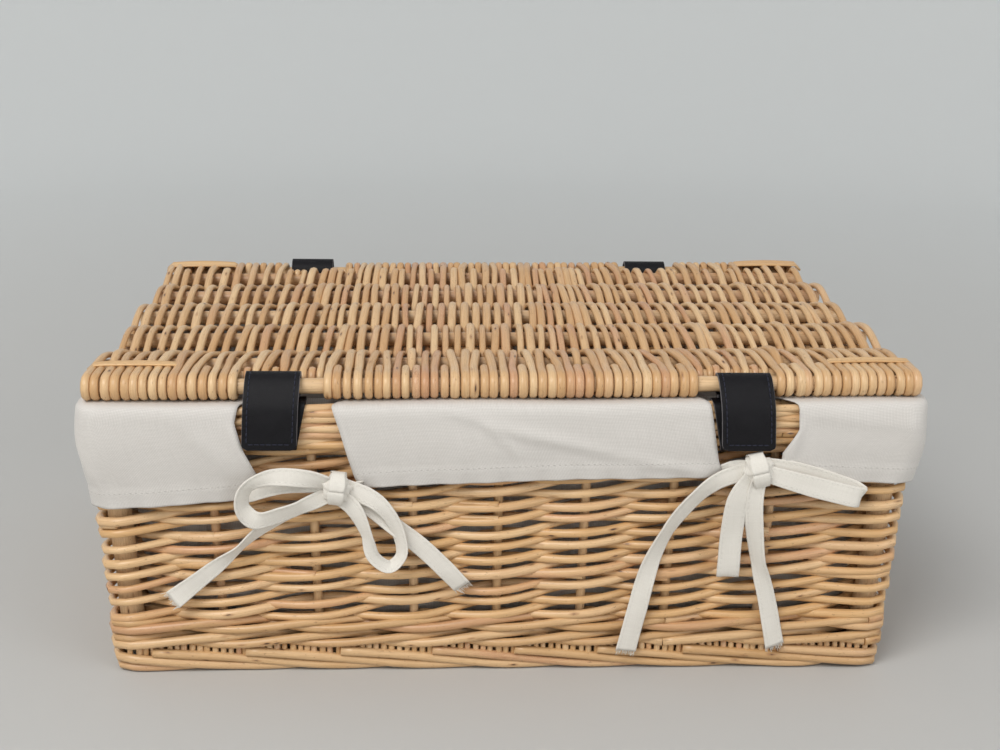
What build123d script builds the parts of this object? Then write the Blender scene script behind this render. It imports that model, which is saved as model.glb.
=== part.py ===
from build123d import *
import os

# Lidded willow hamper with a cotton liner.
# Millimetres, +Z up, front at -Y. The origin is the middle of the overall box at floor level.

# ---------------------------------------------------------------- driving sizes
body_length = 450.0  # outside of the side weave, carried up to the rim
body_depth = 298.0
body_height = 160.0  # floor to the top of the rim
side_lean = 8.0  # how far each side leans out from the floor to the rim
foot_height = 11.0
wale_h = 21.0
border_h = 23.0
border_w = 12.0
border_proud = 2.2  # the plaited rim stands out from the side weave
corner_r = 12.0
inner_corner_r = 3.0

post_d = 13.0
post_inset = 11.0  # post centre from each outer face
wall_t = 14.0  # rod + stake + rod
stake_d = 5.0
# Stakes between two posts, as shares of half the span: 0 is midway and 1 is at a post.
front_stakes = (-0.753, -0.497, -0.24, -0.016, 0.211, 0.441, 0.7)
back_stakes = (-0.75, -0.5, -0.25, 0.0, 0.25, 0.5, 0.75)
end_stakes = (-0.6, -0.2, 0.2, 0.6)

base_stick_d = 7.0
base_rod_d = 3.0
base_stick_count = 6

lid_end_inset = 2.2  # the lid stops short of the rim's outer face at each end
lid_edge_inset = 1.2  # and at the front and the back
lid_stick_d = 8.4
lid_rod_d = 4.0  # the thin rods woven over and under the sticks
lid_row_count = 5  # sticks between the front pair and the back edge stick
lid_front_pair_gap = 5.4  # bare space between the two front edge sticks
lid_front_bay = 39.8  # front edge stick to the first row
lid_back_bay = 21.8  # last row to the back edge stick
lid_band_t = 1.8  # split-willow binding on each corner
lid_band_w = 12.0
lid_band_length = 42.0
lid_band_inset = 8.0
lid_front_band_w = 9.0  # the front bindings lie just behind the stick pair

cloth_t = 0.7
# How far each hem of the turned-down cloth hangs below the rim.
flap_drops = {
    "front_left": 56.0,
    "front_middle": 43.0,
    "front_right": 44.0,
    "left_end": 54.0,
    "right_end": 48.0,
    "back_left": 52.0,
    "back_middle": 52.0,
    "back_right": 50.0,
}
flap_gap = 0.5  # cloth to weave
tub_corner_r = 14.0

strap_w = 29.0
leather_t = 1.6
stud_d = 11.0
stud_t = 1.2
stud_drop = 19.5  # below the lid stick's axis
strap_drop = 32.0  # the tongue's lower end below the same axis
strap_bend_drop = 11.0

# For each strap: its middle, then to its left and right the bare lid stick and the gap in the cloth.
straps = {
    "front_left": {"x": -124.5, "bare": (1.0, 11.0), "gap": (3.5, 20.0)},
    "front_right": {"x": 127.5, "bare": (7.5, 4.5), "gap": (5.0, 15.0)},
    "back_left": {"x": -124.5, "bare": (4.5, 7.5), "gap": (9.5, 12.5)},
    "back_right": {"x": 114.0, "bare": (6.0, 6.0), "gap": (11.0, 11.0)},
}

tape_w = 12.0
tape_t = 1.6
tape_stand_off = 4.6  # tape to weave
tape_layer = 2.0
knot_w = 15.0
knot_h = 20.0
knot_t = 9.0
tie_drop = 15.0  # the highest tape's middle below the plaited rim
tie_low = 17.0  # the longest tail ends this far above the floor

clearance = 0.3  # between parts that move past each other
seat = 0.1  # between parts that lie on each other

# ---------------------------------------------------------------- sizes that follow
foot_length = body_length - 2 * side_lean
foot_depth = body_depth - 2 * side_lean
wale_bottom = foot_height + 1
wale_top = wale_bottom + wale_h
border_length = body_length + 2 * border_proud
border_depth = body_depth + 2 * border_proud
border_bottom = body_height - border_h
lid_length = border_length - 2 * lid_end_inset
lid_depth = border_depth - 2 * lid_edge_inset
lid_t = lid_stick_d + 2 * lid_rod_d
rim_top = body_height + clearance + cloth_t
axis_z = rim_top + clearance + lid_t / 2
edge_y = (lid_depth - lid_t) / 2
front_pair_y = -edge_y + lid_stick_d + lid_front_pair_gap
last_row_y = edge_y - lid_back_bay
lid_end = lid_length / 2
flap_bottom = body_height - max(flap_drops.values())
stake_top = border_bottom - clearance - leather_t - 2 * clearance
slot_bottom = stake_top + clearance
loop_r = lid_stick_d / 2 + clearance
base_t = base_stick_d + 2 * base_rod_d
base_bottom = wale_bottom + clearance
base_top = base_bottom + base_t
big = 2 * body_length


def outside(z):
    """Outer length and depth of the side weave at a height."""
    lean = side_lean * z / body_height
    return foot_length + 2 * lean, foot_depth + 2 * lean


def tapered(z0, z1, inset, radius):
    """A block between two heights whose faces stand inset from the side weave's outer faces."""
    ends = []
    for z in (z0, z1):
        length, depth = outside(z)
        face = RectangleRounded(length - 2 * inset, depth - 2 * inset, radius)
        ends.append(Pos(0, 0, z) * face)
    return loft(ends, ruled=True)


def straight(z0, z1, length, depth, radius):
    """An upright block with rounded corners."""
    face = Pos(0, 0, z0) * RectangleRounded(length, depth, radius)
    return extrude(face, amount=z1 - z0)


def box(x0, x1, y0, y1, z0, z1):
    """A plain box from its limits."""
    middle = Pos((x0 + x1) / 2, (y0 + y1) / 2, (z0 + z1) / 2)
    return middle * Box(x1 - x0, y1 - y0, z1 - z0)


def rod(start, end, diameter):
    """A straight round rod between two points."""
    direction = Vector(*end) - Vector(*start)
    plane = Plane(origin=start, z_dir=direction)
    return Part() + Solid.make_cylinder(diameter / 2, direction.length, plane)


def sector(name):
    """The quarter of the plan that belongs to one side, cut at 45 degrees through the corner posts."""
    length, depth = outside(border_bottom)
    half_x = length / 2 - post_inset
    half_y = depth / 2 - post_inset
    reach = post_inset + 2 * wall_t
    inner_x = half_x - reach
    inner_y = half_y - reach
    outer_x = half_x + reach
    outer_y = half_y + reach
    front = [(-outer_x, -outer_y), (outer_x, -outer_y), (inner_x, -inner_y), (-inner_x, -inner_y)]
    right = [(outer_x, -outer_y), (outer_x, outer_y), (inner_x, inner_y), (inner_x, -inner_y)]
    plans = {
        "front": front,
        "back": [(-x, -y) for x, y in front],
        "right": right,
        "left": [(-x, -y) for x, y in right],
    }
    face = make_face(Polyline(*plans[name], close=True))
    return extrude(face, amount=2 * body_height)


def post_point(sign_x, sign_y, z):
    """Where a corner post's axis passes a height."""
    length, depth = outside(z)
    return sign_x * (length / 2 - post_inset), sign_y * (depth / 2 - post_inset), z


def stake_points(side, share, z):
    """Where a stake's axis passes a height: at its share of the side, midway in the weave."""
    length, depth = outside(z)
    along_x = side in ("front", "back")
    run = share * ((length if along_x else depth) / 2 - post_inset)
    across = (depth if along_x else length) / 2 - wall_t / 2
    sign = -1 if side in ("front", "left") else 1
    return (run, sign * across, z) if along_x else (sign * across, run, z)


def beside(name, kind):
    """The left and right ends of the bare stick or the cloth gap at a strap."""
    strap = straps[name]
    left, right = strap[kind]
    return strap["x"] - strap_w / 2 - left, strap["x"] + strap_w / 2 + right


def spread(start, stop, count):
    """Evenly spaced values with both ends."""
    return [start + (stop - start) * i / (count - 1) for i in range(count)]


parts = {}

# ---------------------------------------------------------------- stakes and posts
post_keys = {"front_left": (-1, -1), "front_right": (1, -1), "back_left": (-1, 1), "back_right": (1, 1)}
stake_low = foot_height + 2 * clearance
bores = []
for key, (sx, sy) in post_keys.items():
    low = post_point(sx, sy, stake_low)
    high = post_point(sx, sy, stake_top)
    parts[f"post_{key}"] = rod(low, high, post_d)
    bores.append(rod(post_point(sx, sy, 0), post_point(sx, sy, slot_bottom), post_d + 2 * seat))

stake_shares = {"front": front_stakes, "back": back_stakes, "left": end_stakes, "right": end_stakes}
for side, shares in stake_shares.items():
    group = Part()
    for at in shares:
        group += rod(stake_points(side, at, stake_low), stake_points(side, at, stake_top), stake_d)
        bores.append(rod(stake_points(side, at, 0), stake_points(side, at, slot_bottom), stake_d + 2 * seat))
    parts[f"{side}_stakes"] = group

# ---------------------------------------------------------------- foot, base and lower wale
foot = straight(0, foot_height, foot_length, foot_depth, corner_r)
foot -= straight(-1, foot_height + 1, foot_length - 2 * wall_t, foot_depth - 2 * wall_t, corner_r)
parts["foot_border"] = foot

wale = tapered(wale_bottom, wale_top, 0, corner_r) - tapered(wale_bottom, wale_top, wall_t, inner_corner_r)
for bore in bores:
    wale -= bore
parts["lower_wale"] = wale

base_length, base_depth = outside(wale_bottom)
base_length -= 2 * (wall_t + clearance)
base_depth -= 2 * (wall_t + clearance)
base_axis_z = base_bottom + base_t / 2
base_panel = straight(base_bottom, base_top, base_length, base_depth, corner_r + post_d / 2)
base_sticks = Part()
base_reach = base_depth / 2 - corner_r
for y in spread(-base_reach, base_reach, base_stick_count):
    half = base_length / 2 - corner_r
    base_panel -= rod((-half - seat, y, base_axis_z), (half + seat, y, base_axis_z), base_stick_d + 2 * seat)
    base_sticks += rod((-half, y, base_axis_z), (half, y, base_axis_z), base_stick_d)
for sx, sy in post_keys.values():
    base_panel -= rod(post_point(sx, sy, 0), post_point(sx, sy, stake_top), post_d + 2 * clearance)
parts["base_weave"] = base_panel
parts["base_sticks"] = base_sticks

# ---------------------------------------------------------------- side weave
strap_slots = []
for name, strap in straps.items():
    half = strap_w / 2 + clearance
    y0, y1 = (-big, 0) if name.startswith("front") else (0, big)
    strap_slots.append(box(strap["x"] - half, strap["x"] + half, y0, y1, slot_bottom, body_height))
ring = tapered(wale_top + seat, border_bottom - seat, 0, corner_r)
ring -= tapered(wale_top, border_bottom, wall_t, inner_corner_r)
for side in ("front", "back", "left", "right"):
    wall = ring & sector(side)
    for cutter in bores + strap_slots:
        wall -= cutter
    parts[f"{side}_weave"] = wall

# ---------------------------------------------------------------- plaited rim
border = straight(border_bottom, body_height, border_length, border_depth, corner_r)
border -= straight(0, big, border_length - 2 * border_w, border_depth - 2 * border_w, corner_r)
parts["top_border"] = border

# ---------------------------------------------------------------- liner
tub_low = base_top + seat
tub_high = body_height + clearance - seat
tub_inset = wall_t + flap_gap
tub = tapered(tub_low, tub_high, tub_inset, tub_corner_r)
tub -= tapered(tub_low + cloth_t, tub_high + 1, tub_inset + cloth_t, tub_corner_r - cloth_t)
parts["liner_tub"] = tub


def skirt_block(low, top, extra):
    """The body's outer shape over the flaps' height, grown sideways."""
    length, depth = outside(low)
    hem = Pos(0, 0, low) * RectangleRounded(length + 2 * extra, depth + 2 * extra, corner_r)
    shoulder_face = RectangleRounded(border_length + 2 * extra, border_depth + 2 * extra, corner_r)
    shoulder = Pos(0, 0, border_bottom) * shoulder_face
    upper = extrude(shoulder, amount=top - border_bottom)
    return loft([hem, shoulder], ruled=True) + upper


mouth_length, mouth_depth = outside(body_height)
mouth_length -= 2 * (tub_inset + cloth_t)
mouth_depth -= 2 * (tub_inset + cloth_t)
skirt = skirt_block(flap_bottom, rim_top, flap_gap + cloth_t)
skirt -= skirt_block(flap_bottom, body_height + clearance, flap_gap)
skirt -= straight(0, big, mouth_length, mouth_depth, tub_corner_r - cloth_t)
flap_spans = {"left_end": ("left", -big, big), "right_end": ("right", -big, big)}
for side in ("front", "back"):
    left_gap = beside(f"{side}_left", "gap")
    right_gap = beside(f"{side}_right", "gap")
    flap_spans[f"{side}_left"] = (side, -big, left_gap[0])
    flap_spans[f"{side}_middle"] = (side, left_gap[1], right_gap[0])
    flap_spans[f"{side}_right"] = (side, right_gap[1], big)
for name, (side, x0, x1) in flap_spans.items():
    hem_z = body_height - flap_drops[name]
    parts[f"flap_{name}"] = skirt & sector(side) & box(x0, x1, -big, big, hem_z, big)

# ---------------------------------------------------------------- leather loops
border_face_y = border_depth / 2
border_out = border_face_y - edge_y  # border's outer face, outward from the lid stick's axis
border_mid = border_out - border_w / 2
border_mid_z = (body_height + border_bottom) / 2 - axis_z
around_border = Pos(border_mid, border_mid_z) * Rectangle(border_w + 2 * clearance, border_h + 2 * clearance)


def front_plane(x):
    """Sketch plane across a front strap: local x outward, local y up, at the lid stick's axis."""
    return Plane(origin=(x, -edge_y, axis_z), x_dir=(0, -1, 0), z_dir=(-1, 0, 0))


def back_plane(x):
    """The same at a back strap."""
    return Plane(origin=(x, edge_y, axis_z), x_dir=(0, 1, 0), z_dir=(1, 0, 0))


def leather_loop(inner):
    """The section of a closed leather loop round an inner outline."""
    return offset(inner, amount=leather_t, kind=Kind.ARC) - inner


hinge_inside = make_hull(Circle(loop_r).edges() + around_border.edges())
hinge_loop = leather_loop(hinge_inside)
keeper_loop = leather_loop(around_border)
keeper_face = border_out + clearance + leather_t
tongue_u = keeper_face + stud_t + clearance + stud_t + leather_t / 2
ring_u = loop_r + leather_t / 2
tongue_line = FilletPolyline(
    (0, ring_u), (ring_u, ring_u), (tongue_u, -strap_bend_drop), (tongue_u, -strap_drop), radius=4.5
)
tongue = trace(tongue_line, leather_t) + Circle(loop_r + leather_t)
tongue -= Circle(loop_r)

for name in ("left", "right"):
    x = straps[f"front_{name}"]["x"]
    plane = front_plane(x)
    parts[f"strap_keeper_{name}"] = extrude(plane * keeper_loop, amount=strap_w / 2, both=True)
    parts[f"front_strap_{name}"] = extrude(plane * tongue, amount=strap_w / 2, both=True)
    ball_y = -edge_y - keeper_face
    socket_y = ball_y - stud_t - clearance
    for node, y in (("stud_ball", ball_y), ("stud_socket", socket_y)):
        start = (x, y, axis_z - stud_drop)
        end = (x, y - stud_t, axis_z - stud_drop)
        parts[f"{node}_{name}"] = rod(start, end, stud_d)
for name in ("left", "right"):
    plane = back_plane(straps[f"back_{name}"]["x"])
    parts[f"hinge_strap_{name}"] = extrude(plane * hinge_loop, amount=strap_w / 2, both=True)

# ---------------------------------------------------------------- lid
stick_ys = {"lid_front_stick": -edge_y, "lid_front_inner_stick": front_pair_y, "lid_back_stick": edge_y}
for i, y in enumerate(spread(lid_front_bay - edge_y, last_row_y, lid_row_count)):
    stick_ys[f"lid_stick_{i + 1}"] = y
lid_low = axis_z - lid_t / 2
panel = box(-lid_end, lid_end, -edge_y, edge_y, lid_low, lid_low + lid_t)
for y in (-edge_y, edge_y):
    panel += rod((-lid_end, y, axis_z), (lid_end, y, axis_z), lid_t)
for node, y in stick_ys.items():
    half = lid_end - lid_rod_d
    parts[node] = rod((-half, y, axis_z), (half, y, axis_z), lid_stick_d)
    panel -= rod((-half - seat, y, axis_z), (half + seat, y, axis_z), lid_stick_d + 2 * seat)
window_front = front_pair_y - lid_stick_d / 2 - clearance
window_back = last_row_y + lid_stick_d / 2 + lid_rod_d
for name in straps:
    y0, y1 = (-big, window_front) if name.startswith("front") else (window_back, big)
    panel -= box(*beside(name, "bare"), y0, y1, 0, big)
parts["lid_weave"] = panel

for key, (sx, sy) in post_keys.items():
    x_out = sx * (lid_end - lid_band_inset)
    x_in = sx * (lid_end - lid_band_inset - lid_band_length)
    y_back = (edge_y - lid_band_w, edge_y)
    y_front = (front_pair_y + 2, front_pair_y + 2 + lid_front_band_w)
    limits = sorted((x_out, x_in)) + list(y_back if sy > 0 else y_front)
    top = lid_low + lid_t + seat
    parts[f"corner_binding_{key}"] = box(*limits, top, top + lid_band_t)

# ---------------------------------------------------------------- tie tapes
def tape_plane(layer):
    """A plane parallel to the front weave, in front of it by the stand-off and whole layers."""
    off = tape_stand_off + layer * tape_layer
    lean = side_lean / body_height
    return Plane(origin=(0, -foot_depth / 2 - off, 0), x_dir=(1, 0, 0), z_dir=(0, -1, -lean))


def tie_point(strap, across, down):
    """A point beside a strap: its way along the front, and its share of the longest tail's drop."""
    top = border_bottom - tie_drop
    return straps[strap]["x"] + across, top - down * (top - tie_low)


def tape(strap, layer, *runs):
    """Flat tapes of one width along runs of tie points, all in one layer."""
    flat = Sketch()
    for run in runs:
        points = [tie_point(strap, *place) for place in run]
        for start, end in zip(points, points[1:]):
            flat += trace(Line(start, end), tape_w)
        for bend in points[1:-1]:
            flat += Pos(*bend) * Circle(tape_w / 2)
    return extrude(tape_plane(layer) * flat, amount=tape_t)


def knot(strap, across, down):
    """The lump where two tapes are tied."""
    block = Box(knot_w, knot_h, knot_t)
    block = fillet(block.edges().filter_by(Axis.Z), knot_w / 4)
    return tape_plane(0) * (Pos(*tie_point(strap, across, down), knot_t / 2) * block)


def bow(name, strap, centre, inner, outer):
    """A knot with its tapes in two layers, each cut clear of the knot."""
    lump = knot(strap, *centre)
    room = offset(lump, amount=seat)
    parts[f"{name}_bow_knot"] = lump
    for layer, (place, runs) in enumerate((inner, outer)):
        parts[f"{name}_bow_{place}"] = tape(strap, layer, *[[centre, *run] for run in runs]) - room


bow(
    "left",
    "front_left",
    (33.5, 0.06),
    (
        "outer_tape",
        [
            [(-7.5, 0.01)],
            [(4.5, 0.0), (-13.5, 0.03), (-16.5, 0.15), (-9.5, 0.21), (33.5, 0.06)],
            [(-38.5, 0.51), (-56.5, 0.7)],
        ],
    ),
    (
        "inner_tape",
        [
            [(40.5, 0.04)],
            [(48.5, 0.25), (59.5, 0.44), (66.5, 0.42), (64.5, 0.25), (33.5, 0.06)],
            [(77.5, 0.38), (98.5, 0.62)],
        ],
    ),
)
bow(
    "right",
    "front_right",
    (8.5, 0.0),
    (
        "inner_tape",
        [
            [(-13.5, 0.05)],
            [(-11.5, 0.04), (-32.5, 0.24), (-45.5, 0.47), (-54.5, 0.82), (-57.5, 1.0)],
            [(-3.5, 0.12), (-3.5, 0.57)],
        ],
    ),
    (
        "outer_tape",
        [
            [(22.5, 0.01)],
            [(31.5, 0.04), (65.5, 0.12)],
            [(9.5, 0.12), (13.5, 0.47), (20.5, 0.7), (26.5, 0.98)],
        ],
    ),
)

# ---------------------------------------------------------------- place and write
whole = Compound(children=[Compound(list(p.solids())) for p in parts.values()]).bounding_box()
shift = Pos(-(whole.min.X + whole.max.X) / 2, -(whole.min.Y + whole.max.Y) / 2, -whole.min.Z)
os.makedirs("parts", exist_ok=True)
for node, part in parts.items():
    solids = list((shift * part).solids())
    export_step(solids[0] if len(solids) == 1 else Compound(solids), f"parts/{node}.step")

move = shift.position
print("overall", [round(v, 2) for v in whole.size])
print("lid hinge axis y, z", round(edge_y + move.Y, 3), round(axis_z + move.Z, 3))
print("front strap axis y, z", round(-edge_y + move.Y, 3), round(axis_z + move.Z, 3))
print("x shift", round(move.X, 3), "y shift", round(move.Y, 3))
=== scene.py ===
# %% [markdown]
# # A lidded willow hamper with a cotton liner
# The hamper is woven from peeled willow rods round upright stakes. A woven lid turns on two leather
# loops at the back, two leather straps snap down at the front, and a cotton liner is turned down over
# the rim and tied with bows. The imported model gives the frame: every piece below takes its place from
# it and rides on one of its bodies. Lengths are in metres, so MM makes the small ones readable.

# %% The frame
import math
import bmesh
import bpy
import numpy as np
from mathutils import Matrix, Vector


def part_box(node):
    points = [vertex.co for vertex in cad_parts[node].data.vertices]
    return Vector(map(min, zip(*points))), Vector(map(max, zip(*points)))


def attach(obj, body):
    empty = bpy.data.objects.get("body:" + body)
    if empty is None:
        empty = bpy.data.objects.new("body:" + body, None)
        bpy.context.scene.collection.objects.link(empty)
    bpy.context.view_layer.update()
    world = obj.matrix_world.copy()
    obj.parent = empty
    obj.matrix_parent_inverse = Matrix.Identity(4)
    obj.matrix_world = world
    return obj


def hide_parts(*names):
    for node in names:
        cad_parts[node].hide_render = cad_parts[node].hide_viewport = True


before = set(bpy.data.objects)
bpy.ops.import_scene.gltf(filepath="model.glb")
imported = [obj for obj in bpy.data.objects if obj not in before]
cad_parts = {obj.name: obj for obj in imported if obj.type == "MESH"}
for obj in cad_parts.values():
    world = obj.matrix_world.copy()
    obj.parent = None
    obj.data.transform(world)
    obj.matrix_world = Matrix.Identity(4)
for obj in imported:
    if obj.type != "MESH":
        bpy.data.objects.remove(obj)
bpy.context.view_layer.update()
MM = 0.001
chance = np.random.default_rng(41)

# %% [markdown]
# ## Sizes that come from the frame
# The foot ring gives the plan at floor level and the left wall shows how far the sides lean. The lid's
# sticks give the rows that its weave crosses. HAND_TILT is the small lean of handmade work: everything
# near the rim sits a little higher on the right than on the left.

# %% Body and lid sizes
foot_low, foot_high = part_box("foot_border")
wale_low, wale_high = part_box("lower_wale")
rim_low, rim_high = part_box("top_border")
left_low, left_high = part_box("left_weave")
MID_Y = (foot_low.y + foot_high.y) / 2
FOOT_X = foot_high.x
FOOT_Y = foot_high.y - MID_Y
SIDE_LEAN = (-left_low.x - FOOT_X) / left_high.z
RIM_X = rim_high.x
RIM_Y = rim_high.y - MID_Y
RIM_TOP = rim_high.z
RIM_BOTTOM = rim_low.z
POST_INSET = 11 * MM
STAKE_INSET = 7 * MM
POST_R = 6.5 * MM
CORNER_SWELL = 1.3 * MM
STAKE_R = 2.6 * MM
HAND_TILT = 0.009


def middle(node):
    """The middle of a CAD node's box."""
    low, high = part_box(node)
    return (low + high) / 2


LID_AXIS_Z = middle("lid_back_stick").z
STICK_R = (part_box("lid_back_stick")[1].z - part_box("lid_back_stick")[0].z) / 2
LID_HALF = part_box("lid_weave")[1].x
EDGE_FRONT_Y = middle("lid_front_stick").y
EDGE_BACK_Y = middle("lid_back_stick").y
PAIR_Y = middle("lid_front_inner_stick").y
ROW_YS = [middle(f"lid_stick_{i}").y for i in range(1, 6)]
print("lid rows", [round(y, 4) for y in ROW_YS], "lean", round(SIDE_LEAN, 4))

# %% [markdown]
# ## Camera, floor and light
# The camera stands in front, a little to the left and well above the rim, and looks down on the lid.
# The floor is round and runs up into a wall in one curve, so no corner shows from any side. A large
# soft lamp stands at the upper left, a weaker one fills from the right, and a pale world lights the rest.

# %% Camera
camera_data = bpy.data.cameras.new("camera")
camera_data.sensor_width = 36
camera_data.lens = 52.74
camera = bpy.data.objects.new("camera", camera_data)
turn = Matrix.Rotation(math.radians(-3.076), 4, "Z")
turn = turn @ Matrix.Rotation(math.radians(90 - 16.185), 4, "X")
turn = turn @ Matrix.Rotation(math.radians(1.065), 4, "Z")
camera.matrix_world = Matrix.Translation((-0.0445, -0.8895, 0.3934)) @ turn
bpy.context.scene.collection.objects.link(camera)
bpy.context.scene.camera = camera

# %% Floor, lamps and world
FLOOR_R = 1.6
SWEEP_R = 1.2
WALL_TOP = 2.7
bm = bmesh.new()
profile = [bm.verts.new((x, 0, 0)) for x in (0, 0.4, FLOOR_R)]
for angle in np.linspace(0, math.pi / 2, 17)[1:]:
    spot = (FLOOR_R + SWEEP_R * math.sin(angle), 0, SWEEP_R * (1 - math.cos(angle)))
    profile.append(bm.verts.new(spot))
profile.append(bm.verts.new((FLOOR_R + SWEEP_R, 0, WALL_TOP)))
line = [bm.edges.new(pair) for pair in zip(profile, profile[1:])]
bmesh.ops.spin(
    bm, geom=profile + line, cent=(0, 0, 0), axis=(0, 0, 1), angle=math.tau, steps=96, use_merge=True,
)
bmesh.ops.remove_doubles(bm, verts=bm.verts, dist=0.0001)
bmesh.ops.recalc_face_normals(bm, faces=bm.faces)
for face in bm.faces:
    face.smooth = True
backdrop_mesh = bpy.data.meshes.new("backdrop")
bm.to_mesh(backdrop_mesh)
bm.free()
backdrop = bpy.data.objects.new("backdrop", backdrop_mesh)
bpy.context.scene.collection.objects.link(backdrop)


def soft_lamp(name, place, aim, size, power, colour):
    """A square area lamp that looks at a point."""
    data = bpy.data.lights.new(name, "AREA")
    data.shape = "SQUARE"
    data.size = size
    data.energy = power
    data.color = colour
    lamp = bpy.data.objects.new(name, data)
    facing = (Vector(aim) - Vector(place)).to_track_quat("-Z", "Y").to_matrix().to_4x4()
    lamp.matrix_world = Matrix.Translation(place) @ facing
    bpy.context.scene.collection.objects.link(lamp)


soft_lamp("key_lamp", (-1.2, -1.7, 2.3), (0, 0, 0.1), 1.5, 52, (1.0, 0.985, 0.965))
soft_lamp("fill_lamp", (1.7, -1.55, 1.1), (0, 0, 0.1), 1.4, 11, (0.98, 0.985, 1.0))
world = bpy.data.worlds.new("world")
world.use_nodes = True
sky = world.node_tree.nodes["Background"].inputs
sky["Color"].default_value = (0.97, 0.98, 1.0, 1)
sky["Strength"].default_value = 0.47
bpy.context.scene.world = world
bpy.context.scene.view_settings.view_transform = "Standard"
print("camera at", [round(v, 3) for v in camera.location])

# %% [markdown]
# ## Writing materials as sums
# A finish is a tree of nodes, and most of its nodes are arithmetic. Value wraps one socket, so that
# sums, differences and products of values add their own Math nodes, and Finish keeps one material's tree.

# %% Shader expressions
class Value:
    """A socket that can be used in sums."""

    def __init__(self, finish, socket):
        self.finish = finish
        self.socket = socket

    def math(self, operation, first, second):
        return self.finish.add("ShaderNodeMath", {"operation": operation}, {0: first, 1: second})

    def __add__(self, other):
        return self.math("ADD", self, other)

    def __sub__(self, other):
        return self.math("SUBTRACT", self, other)

    def __rsub__(self, other):
        return self.math("SUBTRACT", other, self)

    def __mul__(self, other):
        return self.math("MULTIPLY", self, other)

    __radd__ = __add__
    __rmul__ = __mul__


class Finish:
    """One material and its node tree."""

    def __init__(self, name):
        self.material = bpy.data.materials.new(name)
        self.material.use_nodes = True
        self.tree = self.material.node_tree
        self.shader = self.tree.nodes["Principled BSDF"]

    def add(self, kind, settings=None, inputs=None, output=0):
        """A node of a kind: its settings first, then the values or links of its sockets."""
        node = self.tree.nodes.new(kind)
        for key, value in (settings or {}).items():
            setattr(node, key, value)
        self.fill(node, inputs or {})
        return Value(self, node.outputs[output])

    def fill(self, node, inputs):
        for key, value in inputs.items():
            if isinstance(value, Value):
                self.tree.links.new(value.socket, node.inputs[key])
            else:
                node.inputs[key].default_value = value

    def math_of(self, operation, value):
        """A function of one value, such as a sine."""
        return self.add("ShaderNodeMath", {"operation": operation}, {0: value})

    def mix(self, share, first, second):
        """A colour between two colours."""
        pair = [c if isinstance(c, Value) else (*c, 1) for c in (first, second)]
        return self.add("ShaderNodeMix", {"data_type": "RGBA"}, {0: share, 6: pair[0], 7: pair[1]}, 2)

    def noise(self, vector, scale, detail=2.0, rough=0.5):
        inputs = {"Vector": vector, "Scale": scale, "Detail": detail, "Roughness": rough}
        return self.add("ShaderNodeTexNoise", {}, inputs)

    def attribute(self, name, output):
        return self.add("ShaderNodeAttribute", {"attribute_name": name}, {}, output)

    def stretch(self, vector, scale):
        """A vector scaled along each axis."""
        return self.add("ShaderNodeVectorMath", {"operation": "MULTIPLY"}, {0: vector, 1: scale})

    def band(self, value, low, high):
        """0 below low, 1 above high, and a ramp between."""
        settings = {"interpolation_type": "SMOOTHSTEP"}
        return self.add("ShaderNodeMapRange", settings, {0: value, 1: low, 2: high})

    def bump(self, height, distance, strength=1.0):
        inputs = {"Height": height, "Distance": distance, "Strength": strength}
        return self.add("ShaderNodeBump", {}, inputs)

    def finish(self, **sockets):
        """Fill the shader: a word's underscores stand for spaces."""
        self.fill(self.shader, {key.replace("_", " "): value for key, value in sockets.items()})
        return self.material


# %% Backdrop finish
paper = Finish("backdrop_paper")
paper_place = paper.add("ShaderNodeTexCoord", {}, {}, 3)
paper_cloud = paper.noise(paper_place, 0.8, 2.0)
paper_tooth = paper.noise(paper_place, 260.0, 2.0)
paper_plan = paper.stretch(paper_place, (1, 1, 0))
paper_far = paper.add("ShaderNodeVectorMath", {"operation": "LENGTH"}, {0: paper_plan}, 1)
# Painted shade and light: the floor round the hamper is painted darker and the paper lighter further out
# and up the wall, in place of the lamps' own fall of light; a faint cloud of the paper's own tone is mixed
# in.
painted_light_gradient = paper.band(paper_far, 0.35, 2.0)
painted_light_and_cloud = painted_light_gradient * 0.94 + paper_cloud * 0.06
paper_finish = paper.finish(
    Base_Color=paper.mix(painted_light_and_cloud, (0.515, 0.51, 0.495), (0.74, 0.755, 0.75)),
    Roughness=0.9,
    Normal=paper.bump(paper_tooth, 0.0002, 0.2),
)
backdrop_mesh.materials.append(paper_finish)

# %% [markdown]
# ## Willow
# Peeled willow is honey coloured, with fine fibres along the rod, slow changes of tone, some rods that
# are pinker or paler than their neighbours, and small brown scars where side twigs grew. Each rod
# carries its own coordinates: two across it and one along it, so that the grain follows every bend.
# A thin satin varnish gives the soft highlights.

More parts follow.
